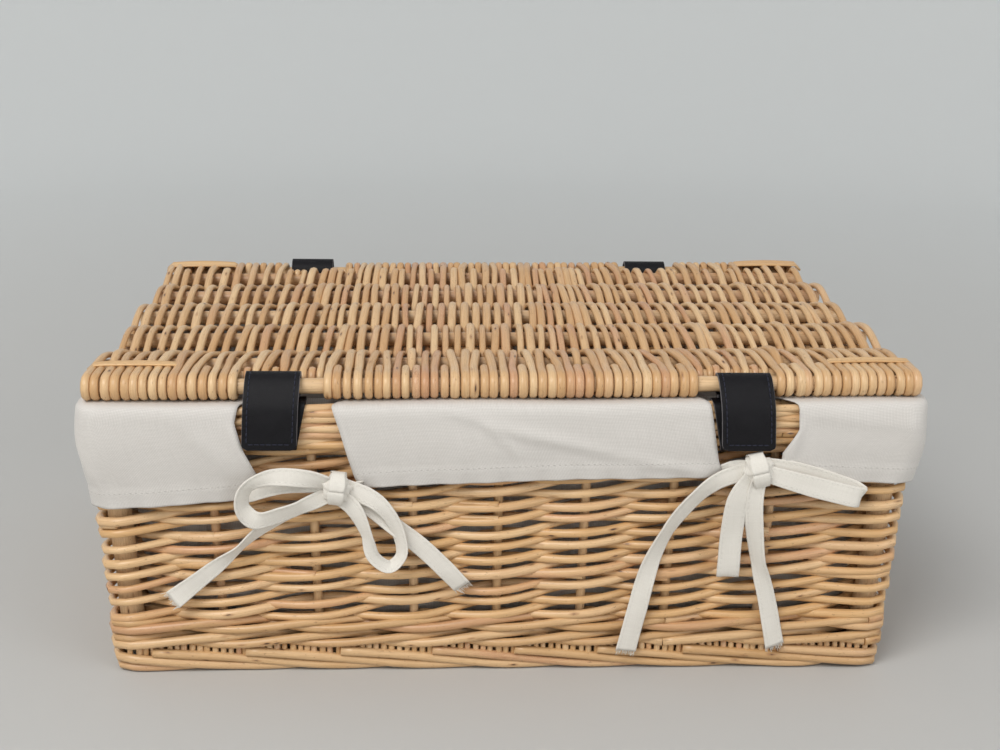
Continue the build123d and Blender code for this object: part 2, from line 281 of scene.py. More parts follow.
# %% Willow finish
def willow(name, pale, warm, blush, scars=1.0, shine=0.42):
    f = Finish(name)
    grain = f.attribute("grain", 1)
    tone = f.attribute("tone", 2)
    own = f.add("ShaderNodeTexWhiteNoise", {"noise_dimensions": "1D"}, {"W": tone * 917.0})
    fibre = f.noise(f.stretch(grain, (1700, 1700, 70)), 1.0, 3.0, 0.6)
    cloud = f.noise(f.stretch(grain, (160, 160, 28)), 1.0, 3.0, 0.55)
    speck = f.noise(f.stretch(grain, (900, 900, 380)), 1.0, 2.0, 0.5)
    body = f.mix(f.band(tone + (cloud - 0.5) * 0.9, 0.0, 1.0), warm, pale)
    body = f.mix(f.band(own, 0.66, 0.96) * f.band(cloud, 0.25, 0.6) * 0.8, body, blush)
    body = f.mix(f.band(fibre, 0.35, 0.75) * 0.36, body, (0.35, 0.185, 0.075))
    body = f.mix(f.band(speck, 0.64, 0.76) * 0.5, body, (0.2, 0.09, 0.035))
    cell = {"Vector": f.stretch(grain, (300, 300, 85)), "Scale": 1.0, "Randomness": 1.0}
    twig = f.add("ShaderNodeTexVoronoi", {"feature": "F1"}, cell)
    pick = f.add("ShaderNodeTexVoronoi", {"feature": "F1"}, cell, 1)
    rare = f.band(f.add("ShaderNodeSeparateColor", {}, {0: pick}), 1.0 - 0.13 * scars, 1.01 - 0.13 * scars)
    ragged = twig + (speck - 0.5) * 0.12
    halo = (1 - f.band(ragged, 0.14, 0.36)) * rare
    core = (1 - f.band(ragged, 0.08, 0.17)) * rare
    body = f.mix(halo * 0.55, body, (0.33, 0.14, 0.05))
    body = f.mix(core * 0.9, body, (0.045, 0.018, 0.008))
    height = fibre * 0.25 + cloud * 0.6 + halo * 0.5 - core * 0.8
    return f.finish(
        Base_Color=body,
        Roughness=(fibre - 0.5) * 0.25 + shine,
        Normal=f.bump(height, 0.0004, 0.5),
        Coat_Weight=0.3,
        Coat_Roughness=0.24,
        Specular_IOR_Level=0.45,
    )


HONEY = (0.77, 0.525, 0.285)
BUFF = (0.66, 0.395, 0.172)
PINK = (0.6, 0.305, 0.165)
weaver_finish = willow("willow_weavers", HONEY, BUFF, PINK)
lid_finish = willow("willow_lid_rods", (0.77, 0.53, 0.29), (0.62, 0.37, 0.17), (0.56, 0.275, 0.15), 1.2)
wale_finish = willow("willow_foot_rods", (0.7, 0.46, 0.24), (0.55, 0.32, 0.135), (0.52, 0.255, 0.135), 1.2)
stick_finish = willow("willow_sticks", (0.78, 0.55, 0.32), (0.66, 0.43, 0.22), (0.58, 0.33, 0.19), 0.7, 0.5)
skein_finish = willow("split_willow", (0.78, 0.52, 0.26), (0.66, 0.41, 0.19), (0.58, 0.32, 0.17), 0.3)
print("willow finishes made")

# %% [markdown]
# ## One straight rod, bent many times
# A rod is modelled once as a straight cylinder, cut into rings along its length. A bundle then takes a
# copy for each rod of the weave and carries its rings to their places on that rod's path, squeezing
# and thinning the section on the way. All the rods of a bundle become one mesh.

# %% Straight rods
straight_rods = {}


def straight_rod(rings, sides):
    """A closed rod of unit radius, with a ring of vertices at every whole height from 0."""
    key = (rings, sides)
    if key not in straight_rods:
        bm = bmesh.new()
        bmesh.ops.create_cone(
            bm, cap_ends=True, segments=sides, radius1=1, radius2=1, depth=rings - 1,
            matrix=Matrix.Translation((0, 0, (rings - 1) / 2)),
        )
        long_edges = [e for e in bm.edges if abs(e.verts[0].co.z - e.verts[1].co.z) > 0.5]
        if rings > 2:
            bmesh.ops.subdivide_edges(bm, edges=long_edges, cuts=rings - 2)
        for face in bm.faces:
            face.smooth = len(face.verts) == 4
        mesh = bpy.data.meshes.new("straight_rod")
        bm.to_mesh(mesh)
        bm.free()
        co = np.empty(len(mesh.vertices) * 3)
        mesh.vertices.foreach_get("co", co)
        straight_rods[key] = (mesh, co.reshape(-1, 3))
    return straight_rods[key]


def unit(vectors):
    return vectors / np.maximum(np.linalg.norm(vectors, axis=-1, keepdims=True), 1e-12)


def smooth_line(points, spacing):
    """A smooth line through points (a Catmull-Rom line), sampled about every spacing metres."""
    points = np.asarray(points, float)
    steps = np.maximum(np.linalg.norm(np.diff(points[:, :3], axis=0), axis=1), 1e-9) ** 0.5
    knots = np.concatenate(([0], np.cumsum(steps)))
    padded = np.vstack((2 * points[0] - points[1], points, 2 * points[-1] - points[-2]))
    times = np.concatenate(([-steps[0]], knots, [knots[-1] + steps[-1]]))
    out = []
    for i in range(len(points) - 1):
        t0, t1, t2, t3 = times[i : i + 4]
        p0, p1, p2, p3 = padded[i : i + 4]
        count = max(1, int(round(steps[i] ** 2 / spacing)))
        t = np.linspace(t1, t2, count, endpoint=False)[:, None]
        a1 = (t1 - t) / (t1 - t0) * p0 + (t - t0) / (t1 - t0) * p1
        a2 = (t2 - t) / (t2 - t1) * p1 + (t - t1) / (t2 - t1) * p2
        a3 = (t3 - t) / (t3 - t2) * p2 + (t - t2) / (t3 - t2) * p3
        b1 = (t2 - t) / (t2 - t0) * a1 + (t - t0) / (t2 - t0) * a2
        b2 = (t3 - t) / (t3 - t1) * a2 + (t - t1) / (t3 - t1) * a3
        out.append((t2 - t) / (t2 - t1) * b1 + (t - t1) / (t2 - t1) * b2)
    out.append(points[-1:])
    return np.vstack(out)


class Bundle:
    """Rods that become one mesh."""

    def __init__(self):
        self.bm = bmesh.new()
        self.co, self.grain, self.tone = [], [], []

    def rod(self, path, radius, outward, sides=8, flat=1.0):
        """One rod along a path: radius and flat are one number or one for each ring.

        outward is the way the section's thin side faces, and flat is its thickness as a share.
        """
        path = np.asarray(path, float)
        rings = len(path)
        mesh, base = straight_rod(rings, sides)
        self.bm.from_mesh(mesh)
        tangent = unit(np.gradient(path, axis=0))
        across = unit(np.cross(tangent, np.broadcast_to(outward, path.shape)))
        out = np.cross(across, tangent)
        radius = np.broadcast_to(radius, rings)
        thick = radius * np.broadcast_to(flat, rings)
        ring = np.rint(base[:, 2]).astype(int)
        x = (base[:, 0] * thick[ring])[:, None]
        y = (base[:, 1] * radius[ring])[:, None]
        self.co.append(path[ring] + x * out[ring] + y * across[ring])
        length = np.concatenate(([0], np.cumsum(np.linalg.norm(np.diff(path, axis=0), axis=1))))
        start = chance.uniform(0, 40, 3)
        local = np.column_stack((base[:, 0] * radius[ring], base[:, 1] * radius[ring], length[ring]))
        self.grain.append(local + start)
        self.tone.append(np.full(len(ring), chance.uniform(0, 1)))

    def mesh(self, name):
        """Turn the bundle into a mesh whose vertices are where their rods' paths carry them."""
        mesh = bpy.data.meshes.new(name)
        self.bm.to_mesh(mesh)
        self.bm.free()
        mesh.vertices.foreach_set("co", np.vstack(self.co).ravel())
        grain = mesh.attributes.new("grain", "FLOAT_VECTOR", "POINT")
        grain.data.foreach_set("vector", np.vstack(self.grain).ravel())
        tone = mesh.attributes.new("tone", "FLOAT", "POINT")
        tone.data.foreach_set("value", np.concatenate(self.tone))
        mesh.update()
        return mesh


def handmade(co, body):
    """Raise the right side and lower the left, by more the nearer a point is to the rim.

    The body's own back right corner stays down, which leaves room there for the lid to turn.
    """
    share = np.clip(co[:, 2] / RIM_TOP, 0, 1)
    if body == "basket":
        share *= np.where(co[:, 0] > 0, np.clip((0.12 - co[:, 1]) / 0.2, 0, 1), 1)
    co[:, 2] += HAND_TILT * co[:, 0] * share
    return co


def place(mesh, body, finish, slot, replaces=(), leaned=True):
    """Make a mesh a piece of the hamper: leaned, painted, riding on its body."""
    if leaned:
        co = np.empty(len(mesh.vertices) * 3)
        mesh.vertices.foreach_get("co", co)
        mesh.vertices.foreach_set("co", handmade(co.reshape(-1, 3), body).ravel())
        mesh.update()
    obj = bpy.data.objects.new(mesh.name, mesh)
    bpy.context.scene.collection.objects.link(obj)
    mesh.materials.append(finish)
    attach(obj, body)
    if replaces:
        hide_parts(*replaces)
    print(f"{mesh.name}: {sum(len(p.vertices) - 2 for p in mesh.polygons)} triangles")
    return obj


# %% [markdown]
# ## The stakes that the sides are woven on
# The sides stand on a thick post in each corner and thin stakes between. They lean outwards, so
# a stake's place is worked out at a height. Going round from the back left corner, each of them is a
# station where a weaving rod passes either in front or behind.

# %% Stations
FRONT_SHARES = (-0.753, -0.497, -0.24, -0.0165, 0.211, 0.4415, 0.6995)
BACK_SHARES = tuple(i / 4 - 1 for i in range(1, 8))
END_SHARES = (-0.6, -0.2, 0.2, 0.6)
STATIONS = [("post", (-1, 1))]
STATIONS += [("left", -s) for s in END_SHARES]
STATIONS += [("post", (-1, -1))]
STATIONS += [("front", s) for s in FRONT_SHARES]
STATIONS += [("post", (1, -1))]
STATIONS += [("right", s) for s in END_SHARES]
STATIONS += [("post", (1, 1))]
STATIONS += [("back", -s) for s in BACK_SHARES]
ROUND = len(STATIONS)
ROUND_START = 2  # rods of a full turn begin on a straight side, not at a post
OUTWARD = {"left": (-1, 0), "right": (1, 0), "front": (0, -1), "back": (0, 1)}


def half_plan(z):
    """Half the body's outer length and depth at a height."""
    return FOOT_X + SIDE_LEAN * z, FOOT_Y + SIDE_LEAN * z


def station_point(index, z):
    """The axis of a stake or post at a height, and its outward direction in plan."""
    kind, where = STATIONS[index % ROUND]
    half_x, half_y = half_plan(z)
    if kind == "post":
        centre = np.array((where[0] * (half_x - POST_INSET), where[1] * (half_y - POST_INSET)))
        return centre, np.array(where) / math.sqrt(2)
    out = np.array(OUTWARD[kind], float)
    along = np.array((-out[1], out[0]))
    run = (half_x if kind in ("front", "back") else half_y) - POST_INSET
    across = (half_y if kind in ("front", "back") else half_x) - STAKE_INSET
    sign = 1 if kind in ("front", "right") else -1
    return out * across + along * where * run * (sign if kind in ("front", "right") else -1), out


def weave_points(index, z, offset, rise=0.0):
    """Where a rod passes a station: offset is its distance out from the stakes' line, or behind it."""
    centre, out = station_point(index, z)
    if STATIONS[index % ROUND][0] != "post":
        spot = centre + out * offset
        return [(spot[0], spot[1] + MID_Y, z, out[0], out[1])]
    if offset < 0:
        reach = POST_R - offset - STAKE_R
        spot = centre - out * reach
        return [(spot[0], spot[1] + MID_Y, z, out[0], out[1])]
    reach = POST_R + offset - STAKE_R + CORNER_SWELL
    points = []
    for turn_share in (-1, 0, 1):
        angle = math.atan2(out[1], out[0]) + math.radians(43) * turn_share
        way = np.array((math.cos(angle), math.sin(angle)))
        spot = centre + way * (reach + (0.9 * MM if turn_share == 0 else 0))
        points.append((spot[0], spot[1] + MID_Y, z + rise * turn_share, way[0], way[1]))
    return points


def woven(bundle, points, radius, taper=0.85):
    """Add a rod through weave points, thinner towards its tip, with the slight bumps of a real one."""
    line = smooth_line(points, 6.5 * MM)
    outward = np.column_stack((line[:, 3:5], np.zeros(len(line))))
    along = np.linspace(1, taper, len(line))
    bumps = 1 + 0.035 * np.sin(np.arange(len(line)) * chance.uniform(0.5, 1.1) + chance.uniform(0, 6))
    bundle.rod(line[:, :3], radius * along * bumps, outward)


print(ROUND, "stations")

# %% Posts and stakes
def upright(bundle, index, radius, sides):
    """A stake or post from the foot ring to just under the rim."""
    low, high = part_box("front_stakes")
    path = []
    for z in np.linspace(low.z, high.z, 12):
        centre, _ = station_point(index, z)
        path.append((centre[0], centre[1] + MID_Y, z))
    thick = radius * (1 + 0.04 * np.sin(np.arange(12) * 1.3 + index))
    bundle.rod(path, thick, (0, 1, 0.01), sides=sides)


POST_NAMES = {0: "back_left", 5: "front_left", 13: "front_right", 18: "back_right"}
for index, name in POST_NAMES.items():
    bundle = Bundle()
    upright(bundle, index, POST_R, 12)
    place(bundle.mesh(f"corner_post_{name}"), "basket", stick_finish, "sticks", [f"post_{name}"])
for side in ("front", "right", "back", "left"):
    bundle = Bundle()
    for index in range(ROUND):
        if STATIONS[index][0] == side:
            upright(bundle, index, STAKE_R, 8)
    place(bundle.mesh(f"{side}_stakes_peeled"), "basket", stick_finish, "sticks", [f"{side}_stakes"])

# %% [markdown]
# ## Sides: paired weaving rods
# Each side is filled with single rods that pass in front of one stake and behind the next, always
# climbing as they go round, so that two rods share each row. A line of weaving climbs from the wale to
# the rim in about one turn. It is made of several real rods, and where one ends behind a stake the
# next begins. Rods bend round the outside of a corner post, or cut the corner behind it.

# %% Side weaving
PITCH = 8.3 * MM
CLIMB = 0.65
ROD_R = 2.6 * MM
FACE = STAKE_R + ROD_R
WEAVE_LOW = wale_high.z + 1.5 * MM
WEAVE_HIGH = RIM_BOTTOM + 3 * MM


def side_of(index):
    """Which side's mesh a rod that starts at a station belongs to."""
    passed = sum(1 for post in POST_NAMES if post and post <= index % ROUND)
    return ("left", "front", "right", "back")[passed]


bundles = {side: Bundle() for side in ("front", "right", "back", "left")}
for line_start in range(ROUND):
    index = line_start
    while True:
        rod_length = 2 * int(chance.integers(3, 5)) + 1
        first = index - 1
        points, ended = [], False
        jitter = chance.normal(0, 0.6 * MM)
        for i in range(first, first + rod_length + 1):
            step = i - line_start
            front = step % 2 == 0
            z = WEAVE_LOW + PITCH * (step / 2 if front else (step - 1) / 2 + CLIMB)
            z += jitter + chance.normal(0, 0.5 * MM)
            if z > WEAVE_HIGH:
                ended = True
                break
            offset = FACE + chance.normal(0, 0.25 * MM) if front else -FACE
            points += weave_points(i, max(z, WEAVE_LOW - PITCH * 0.4), offset, 0.1 * PITCH)
        if len(points) > 2:
            radius = ROD_R * chance.uniform(0.88, 1.14)
            woven(bundles[side_of(first + 1)], points, radius)
        index += rod_length - 1
        if ended or index - line_start > 2 * (WEAVE_HIGH - WEAVE_LOW) / PITCH:
            break
for side, bundle in bundles.items():
    place(bundle.mesh(f"{side}_randing"), "basket", weaver_finish, "woven_rods", [f"{side}_weave"])

# %% [markdown]
# ## Lower wale
# Two rows of three-rod wale lock the stakes above the base. Each of its three rods passes in front of
# two stakes and behind one. It comes out low, lies across the rod that went before it and dives in high,
# which gives the rope-like slant.

# %% Lower wale
WALE_FACE = STAKE_R + 2.6 * MM


def round_strand(bundle, phase, cycle, base_z, radius):
    """A rod that goes all the way round: cycle gives (height, offset) at each station of its repeat."""
    points = []
    for i in range(ROUND_START, ROUND_START + ROUND + 1):
        height, offset = cycle[(i - phase) % len(cycle)]
        z = base_z + height + chance.normal(0, 0.25 * MM)
        points += weave_points(i, z, offset, 0.3 * MM)
    cuts = list(range(0, len(points) - 4, int(chance.integers(11, 15))))
    for start, stop in zip(cuts, cuts[1:] + [len(points)]):
        woven(bundle, points[start : stop + 1], radius * chance.uniform(0.92, 1.1), taper=0.95)


wale = Bundle()
WALE_GAP = 2.4 * MM
row_h = (wale_high.z - wale_low.z - WALE_GAP) / 2
for row in range(2):
    cycle = [
        (0.6 * row_h, -WALE_FACE),
        (0.3 * row_h, WALE_FACE + 0.6 * MM),
        (0.78 * row_h, WALE_FACE),
    ]
    for phase in range(3):
        round_strand(wale, phase + row, cycle, wale_low.z + WALE_GAP + row * row_h, 2.6 * MM)
place(wale.mesh("lower_wale_rods"), "basket", wale_finish, "woven_rods", ["lower_wale"])

# %% [markdown]
# ## Foot border
# The base sits inside a border of thick rods. Each rod's cut end shows just under the wale beside
# a stake; the rod slopes down to the right across the next stake, lies along the floor and turns under.

# %% Foot border
FOOT_R = 2.75 * MM
foot = Bundle()
foot_out = STAKE_INSET - FOOT_R
for i in range(ROUND):
    heights = ((0.22, 12.6, 1.4), (0.5, 11.2, 1.2), (1, 8.7, 0.6), (2, 3.3, 0.0))
    heights += ((2.6, 2.95, -1.2), (3.1, 3.1, -5.5))
    points = []
    for ahead, height, out in heights:
        before = i + int(ahead)
        share = ahead - int(ahead)
        here = weave_points(before, height * MM, foot_out + out * MM, -0.5 * MM)
        if share:
            there = weave_points(before + 1, height * MM, foot_out + out * MM)
            a, b = np.array(here[-1]), np.array(there[0])
            here = [tuple(a + (b - a) * share)]
        points += here
    woven(foot, points, FOOT_R * chance.uniform(0.9, 1.1), taper=0.9)
for height in (3.0, 8.2):
    points = []
    for i in range(ROUND_START, ROUND_START + ROUND + 1):
        points += weave_points(i, height * MM, -3.4 * MM)
    woven(foot, points, FOOT_R)
place(foot.mesh("foot_border_rods"), "basket", wale_finish, "woven_rods", ["foot_border"])

# %% [markdown]
# ## Plaited rim
# At the top the stakes are bent over and plaited into a border. It shows only where the cloth is cut
# away for a strap: five slanting rods stacked over one another.

# %% Plaited rim
rim = Bundle()
RIM_FACE = STAKE_R + 2.5 * MM + (RIM_X - half_plan(RIM_BOTTOM)[0]) * 0.55
strands = 5
step_z = (RIM_TOP - RIM_BOTTOM) / strands
for level in range(strands):
    cycle = [
        (0.5 * step_z, -RIM_FACE + 4 * MM),
        (0.25 * step_z, RIM_FACE),
        (0.5 * step_z, RIM_FACE + 0.3 * MM),
        (0.8 * step_z, RIM_FACE),
    ]
    round_strand(rim, level % 4, cycle, RIM_BOTTOM + level * step_z, 2.4 * MM)
    round_strand(rim, (level + 2) % 4, cycle, RIM_BOTTOM + level * step_z, 2.2 * MM)
for height in (3.0, 8.0, 13.0, 18.0):
    points = []
    for i in range(ROUND_START, ROUND_START + ROUND + 1):
        points += weave_points(i, RIM_BOTTOM + height * MM, -4.0 * MM)
    woven(rim, points, 2.6 * MM)
place(rim.mesh("plaited_rim_rods"), "basket", weaver_finish, "woven_rods", ["top_border"])

# %% [markdown]
# ## Lid: sticks
# Eight straight sticks run the length of the lid: two close together along the front edge, one along
# the back, and five between. The front and back edge sticks are left bare where a strap goes round.

# %% Lid sticks
STICK_NODES = ["lid_front_stick", "lid_front_inner_stick", "lid_back_stick"]
STICK_NODES += [f"lid_stick_{i}" for i in range(1, 6)]
for node in STICK_NODES:
    bundle = Bundle()
    y = middle(node).y
    xs = np.linspace(-LID_HALF + 3 * MM, LID_HALF - 3 * MM, 60)
    wave = chance.uniform(0, 6)
    path = np.column_stack((xs, y + 0.35 * MM * np.sin(xs * 19 + wave), np.full(60, LID_AXIS_Z)))
    thick = STICK_R * (1 + 0.02 * np.sin(xs * 70 + wave) + 0.015 * np.sin(xs * 31))
    thick[[0, -1]] *= 0.9
    bundle.rod(path, thick, (0, 0, 1), sides=14)
    place(bundle.mesh(f"{node}_peeled"), "lid", stick_finish, "sticks", [node])

# %% [markdown]
# ## Lid: woven rods
# The lid's thin rods run from front to back, over one stick and under the next, and their neighbours
# do the opposite. Round the front pair and round the back stick they are wrapped close together and
# pressed flat. A wrap that no pass ends in is a turn of its own that comes up behind the stick pair.

# %% Lid weave values
PASS_STEP = 3.52 * MM
WRAP_STEP = 5.15 * MM
PASS_R = 2.3 * MM
BARE_ROOM = {
    "front_left": ("front_strap_left", 1, 11),
    "front_right": ("front_strap_right", 7.5, 4.5),
    "back_left": ("hinge_strap_left", 4.5, 7.5),
    "back_right": ("hinge_strap_right", 6, 6),
}
BARE = {}
for where, (node, left_room, right_room) in BARE_ROOM.items():
    low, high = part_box(node)
    BARE[where] = (low.x - left_room * MM, high.x + right_room * MM)


def bare_at(x, edge):
    """Whether an edge stick is bare at x."""
    return any(BARE[f"{edge}_{side}"][0] < x < BARE[f"{edge}_{side}"][1] for side in ("left", "right"))


def lid_point(x, y, height):
    return (x, y, LID_AXIS_Z + height)


def sideways(path):
    """For rods that run front to back: the thin side of the section faces away from the sticks."""
    tangent = unit(np.gradient(path, axis=0))
    return np.column_stack((np.zeros(len(path)), -tangent[:, 2], tangent[:, 1]))


def wrap_points(x, edge, bare):
    """A turn round the edge: from its top, round the outside, to its underside."""
    reach = STICK_R + (0.8 if bare else 1.5) * MM
    if edge == "front":
        near, far, sign = PAIR_Y, (PAIR_Y if bare else EDGE_FRONT_Y), -1
    else:
        near, far, sign = (ROW_YS[-1], ROW_YS[-1], 1) if bare else (EDGE_BACK_Y, EDGE_BACK_Y, 1)
    points = [lid_point(x, near - sign * 1.0 * MM, reach)]
    if near != far:
        points.append(lid_point(x, (near + far) / 2, reach + 0.15 * MM))
    points += [
        lid_point(x, far + sign * 1.5 * MM, reach),
        lid_point(x, far + sign * reach * 0.8, reach * 0.66),
        lid_point(x, far + sign * reach * 1.03, 0),
        lid_point(x, far + sign * reach * 0.8, -reach * 0.66),
        lid_point(x, far + sign * 1.5 * MM, -reach),
        lid_point(x, near - sign * 2 * MM, -reach),
    ]
    return points


def near_end(x):
    """Nought at the lid's ends, one from 20 mm inwards."""
    return min(1, max(0, (LID_HALF - 3 * MM - abs(x)) / (20 * MM)))


def lean_at(x, y):
    """Rods lean outwards a little towards the back, except close to the lid's ends."""
    share = x / LID_HALF
    lean = -0.013 * math.sin(3.1 * share - 0.2) + 0.005 * math.sin(9 * share + 1)
    return lean * near_end(x) * (y - PAIR_Y) / 0.27


# %% Lid passes and wraps
lid_rods = Bundle()
pass_count = int(2 * (LID_HALF - 3 * MM) / PASS_STEP)
passes = []
for p in range(pass_count):
    x = -LID_HALF + 3.2 * MM + p * (2 * (LID_HALF - 3.2 * MM)) / (pass_count - 1)
    r = PASS_R * chance.uniform(0.82, 1.22)
    passes.append({"x": x, "odd": p % 2, "r": r, "front": None, "back": None})


def claim_wraps(edge, y):
    """Spread the edge's wraps along it, and let each take the end of a pass that is close enough."""
    wraps = []
    x = -LID_HALF + 2.6 * MM
    while x < LID_HALF - 2 * MM:
        wrap_x = x + chance.normal(0, 0.25 * MM)
        wrap = {"x": wrap_x, "pass": None, "r": WRAP_STEP / 2 * chance.uniform(0.84, 1.04)}
        best = None
        for item in passes:
            gap = abs(item["x"] + lean_at(item["x"], y) - wrap["x"])
            over = item["odd"] == (0 if edge == "front" else 1)
            cost = gap + (0 if over else 0.9 * MM)
            if item[edge] is None and gap < 3.4 * MM and (best is None or cost < best[0]):
                best = (cost, item)
        if best:
            best[1][edge] = wrap
            wrap["pass"] = best[1]
        wraps.append(wrap)
        x += WRAP_STEP * chance.uniform(0.9, 1.1)
    return wraps


front_wraps = claim_wraps("front", PAIR_Y)
back_wraps = claim_wraps("back", EDGE_BACK_Y)


def thickness(line, r, wraps_r, flat_y):
    """A rod's radius at each ring, wider and flatter where it is wrapped round an edge."""
    share = np.clip((flat_y[0] - line[:, 1]) / (8 * MM), 0, 1)
    share += np.clip((line[:, 1] - flat_y[1]) / (8 * MM), 0, 1)
    front, back = wraps_r
    wide = np.where(line[:, 1] < 0, front, back)
    return r + (wide - r) * share, 0.84 - 0.18 * share


for item in passes:
    x, r = item["x"], item["r"]
    middle_points = []
    for row, y in enumerate(ROW_YS):
        over = (row + item["odd"]) % 2 == 0
        drift = chance.normal(0, 0.8 * MM) * (0.2 + 0.8 * near_end(x))
        height = (STICK_R + r * 0.8) * (1 if over else -1) + chance.normal(0, 0.2 * MM)
        middle_points.append(lid_point(x + lean_at(x, y) + drift, y, height))
    front, back = item["front"], item["back"]
    bare = bool(front) and bare_at(front["x"], "front")
    if front:
        start = wrap_points(front["x"], "front", bare)[::-1]
    else:
        side = 1 if item["odd"] == 0 else -1
        end_x = x + lean_at(x, PAIR_Y)
        start = [
            lid_point(end_x, PAIR_Y + 4 * MM, -5.2 * MM),
            lid_point(end_x, PAIR_Y + 10 * MM, -1.0 * MM * side),
        ]
    if back and not bare_at(back["x"], "back"):
        end = wrap_points(back["x"], "back", False)
    elif back and not bare_at(x, "back"):
        end = wrap_points(back["x"], "back", True)
    else:
        end_x = x + lean_at(x, EDGE_BACK_Y)
        end = [
            lid_point(end_x, ROW_YS[-1] + 8 * MM, -4.5 * MM),
            lid_point(end_x, ROW_YS[-1] + 11 * MM, -6.5 * MM),
        ]
    line = smooth_line(start + middle_points + end, 5.2 * MM)
    wraps_r = (front["r"] * (0.8 if bare else 1) if front else r, back["r"] if back else r)
    radius, flat = thickness(line, r, wraps_r, (PAIR_Y + 6 * MM, EDGE_BACK_Y - 9 * MM))
    lid_rods.rod(line, radius, sideways(line), sides=8, flat=flat)
for edge, wraps in (("front", front_wraps), ("back", back_wraps)):
    for wrap in wraps:
        if wrap["pass"]:
            continue
        bare = bare_at(wrap["x"], edge)
        if edge == "back" and bare:
            continue
        turn_points = wrap_points(wrap["x"], edge, bare)
        inner = PAIR_Y + 8.5 * MM if edge == "front" else EDGE_BACK_Y - 8.5 * MM
        first = lid_point(wrap["x"], inner, -2 * MM)
        second = lid_point(wrap["x"], inner - (2.5 * MM if edge == "front" else -2.5 * MM), 4 * MM)
        line = smooth_line([first, second] + turn_points, 3.2 * MM)
        radius, flat = (wrap["r"] * 0.8, 0.6) if bare else (wrap["r"], 0.68)
        lid_rods.rod(line, radius, sideways(line), sides=8, flat=flat)
lid_mesh = lid_rods.mesh("lid_woven_rods")
place(lid_mesh, "lid", lid_finish, "woven_rods", ["lid_weave"])
print(len(passes), "passes", len(front_wraps), "front wraps", len(back_wraps), "back wraps")

# %% [markdown]
# ## Lid: corner bindings
# Split skeins tie the end rods to the edge sticks: three at each front corner and a wider band of five
# at each back corner.

# %% Corner bindings
LID_CORNERS = (("front_left", -1, 3, 0.55), ("front_right", 1, 3, 0.55))
LID_CORNERS += (("back_left", -1, 5, 1), ("back_right", 1, 5, 1))
for name, sx, count, spread in LID_CORNERS:
    bundle = Bundle()
    low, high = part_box(f"corner_binding_{name}")
    for k in range(count):
        y0 = low.y + (high.y - low.y) * (k + 0.5) / count * spread
        xs = np.linspace(sx * (LID_HALF + 0.6 * MM), low.x if sx > 0 else high.x, 14)
        xs += sx * 0.3 * MM * k
        bow = np.sin(np.linspace(0, math.pi, 14))
        ys = y0 + 0.8 * MM * bow * (k - count / 2)
        zs = LID_AXIS_Z + STICK_R + 2.9 * MM + 0.9 * MM * bow
        zs[0] -= 3.2 * MM
        zs[-1] -= 2.6 * MM
        bundle.rod(np.column_stack((xs, ys, zs)), 1.6 * MM, (0, 0, 1), sides=8, flat=0.55)
    mesh = bundle.mesh(f"corner_skeins_{name}")
    place(mesh, "lid", skein_finish, "woven_rods", [f"corner_binding_{name}"])

# %% [markdown]
# ## Cotton
# The liner is off-white cotton in a plain weave: two sets of threads under a millimetre apart, with
# slubs that make some threads thicker. The pattern follows the cloth, so each sheet carries its own
# measured coordinates. A line of stitches runs along each hem.

# %% Cotton finish
def cotton(name, pale, shade, thread=0.78 * MM, sewn=0.3):
    f = Finish(name)
    cloth = f.attribute("cloth", 1)
    split = {axis: f.add("ShaderNodeSeparateXYZ", {}, {0: cloth}, i) for i, axis in enumerate("uvw")}
    count = math.tau / thread
    slub = f.noise(f.stretch(cloth, (2400, 55, 1)), 1.0, 2.0)
    slub_across = f.noise(f.stretch(cloth, (55, 2400, 1)), 1.0, 2.0)
    along = f.math_of("SINE", split["u"] * count) * 0.5 + 0.5
    across = f.math_of("SINE", split["v"] * count) * 0.5 + 0.5
    weave = along * across + slub * 0.5 + slub_across * 0.5
    cloud = f.noise(f.stretch(cloth, (30, 30, 1)), 1.0, 3.0)
    dash = f.math_of("SINE", split["u"] * (math.tau / (3.1 * MM)))
    near = 1 - f.band(f.math_of("ABSOLUTE", split["w"]), 0.00012, 0.0005)
    stitch = near * f.band(dash, -0.5, 0.1)
    puncture = near * (1 - f.band(dash, -0.85, -0.5))
    # Painted shade: the hollows between the threads take the darker shade colour and the raised threads the
    # pale one; a broad cloud then varies the cloth's own tone.
    colour = f.mix(f.band(weave, 0.35, 1.25), shade, pale)
    colour = f.mix(cloud * 0.25, colour, shade)
    colour = f.mix(puncture * sewn, colour, (0.3, 0.28, 0.26))
    # Painted shade: the cloth along the stitched line of the hem is painted darker, for the shade in its
    # groove.
    colour = f.mix(near * 0.18, colour, shade)
    height = weave * 0.5 + stitch * 1.4 - near * 0.9
    return f.finish(
        Base_Color=colour,
        Roughness=0.88,
        Normal=f.bump(height, 0.00022, 0.6),
        Sheen_Weight=0.12,
        Specular_IOR_Level=0.2,
    )


liner_finish = cotton("liner_cotton", (0.76, 0.725, 0.69), (0.57, 0.54, 0.505))
tape_finish = cotton("tape_cotton", (0.86, 0.825, 0.76), (0.7, 0.66, 0.595), 0.62 * MM, 0.08)
print("cotton finishes made")

# %% [markdown]
# ## Sheets of cloth
# A sheet starts as a flat bmesh grid and is laid over a table of points. It keeps two measured
# coordinates for its weave, and a third that says how far each point is from the hem's stitching.
# Solidify then gives it its thickness.

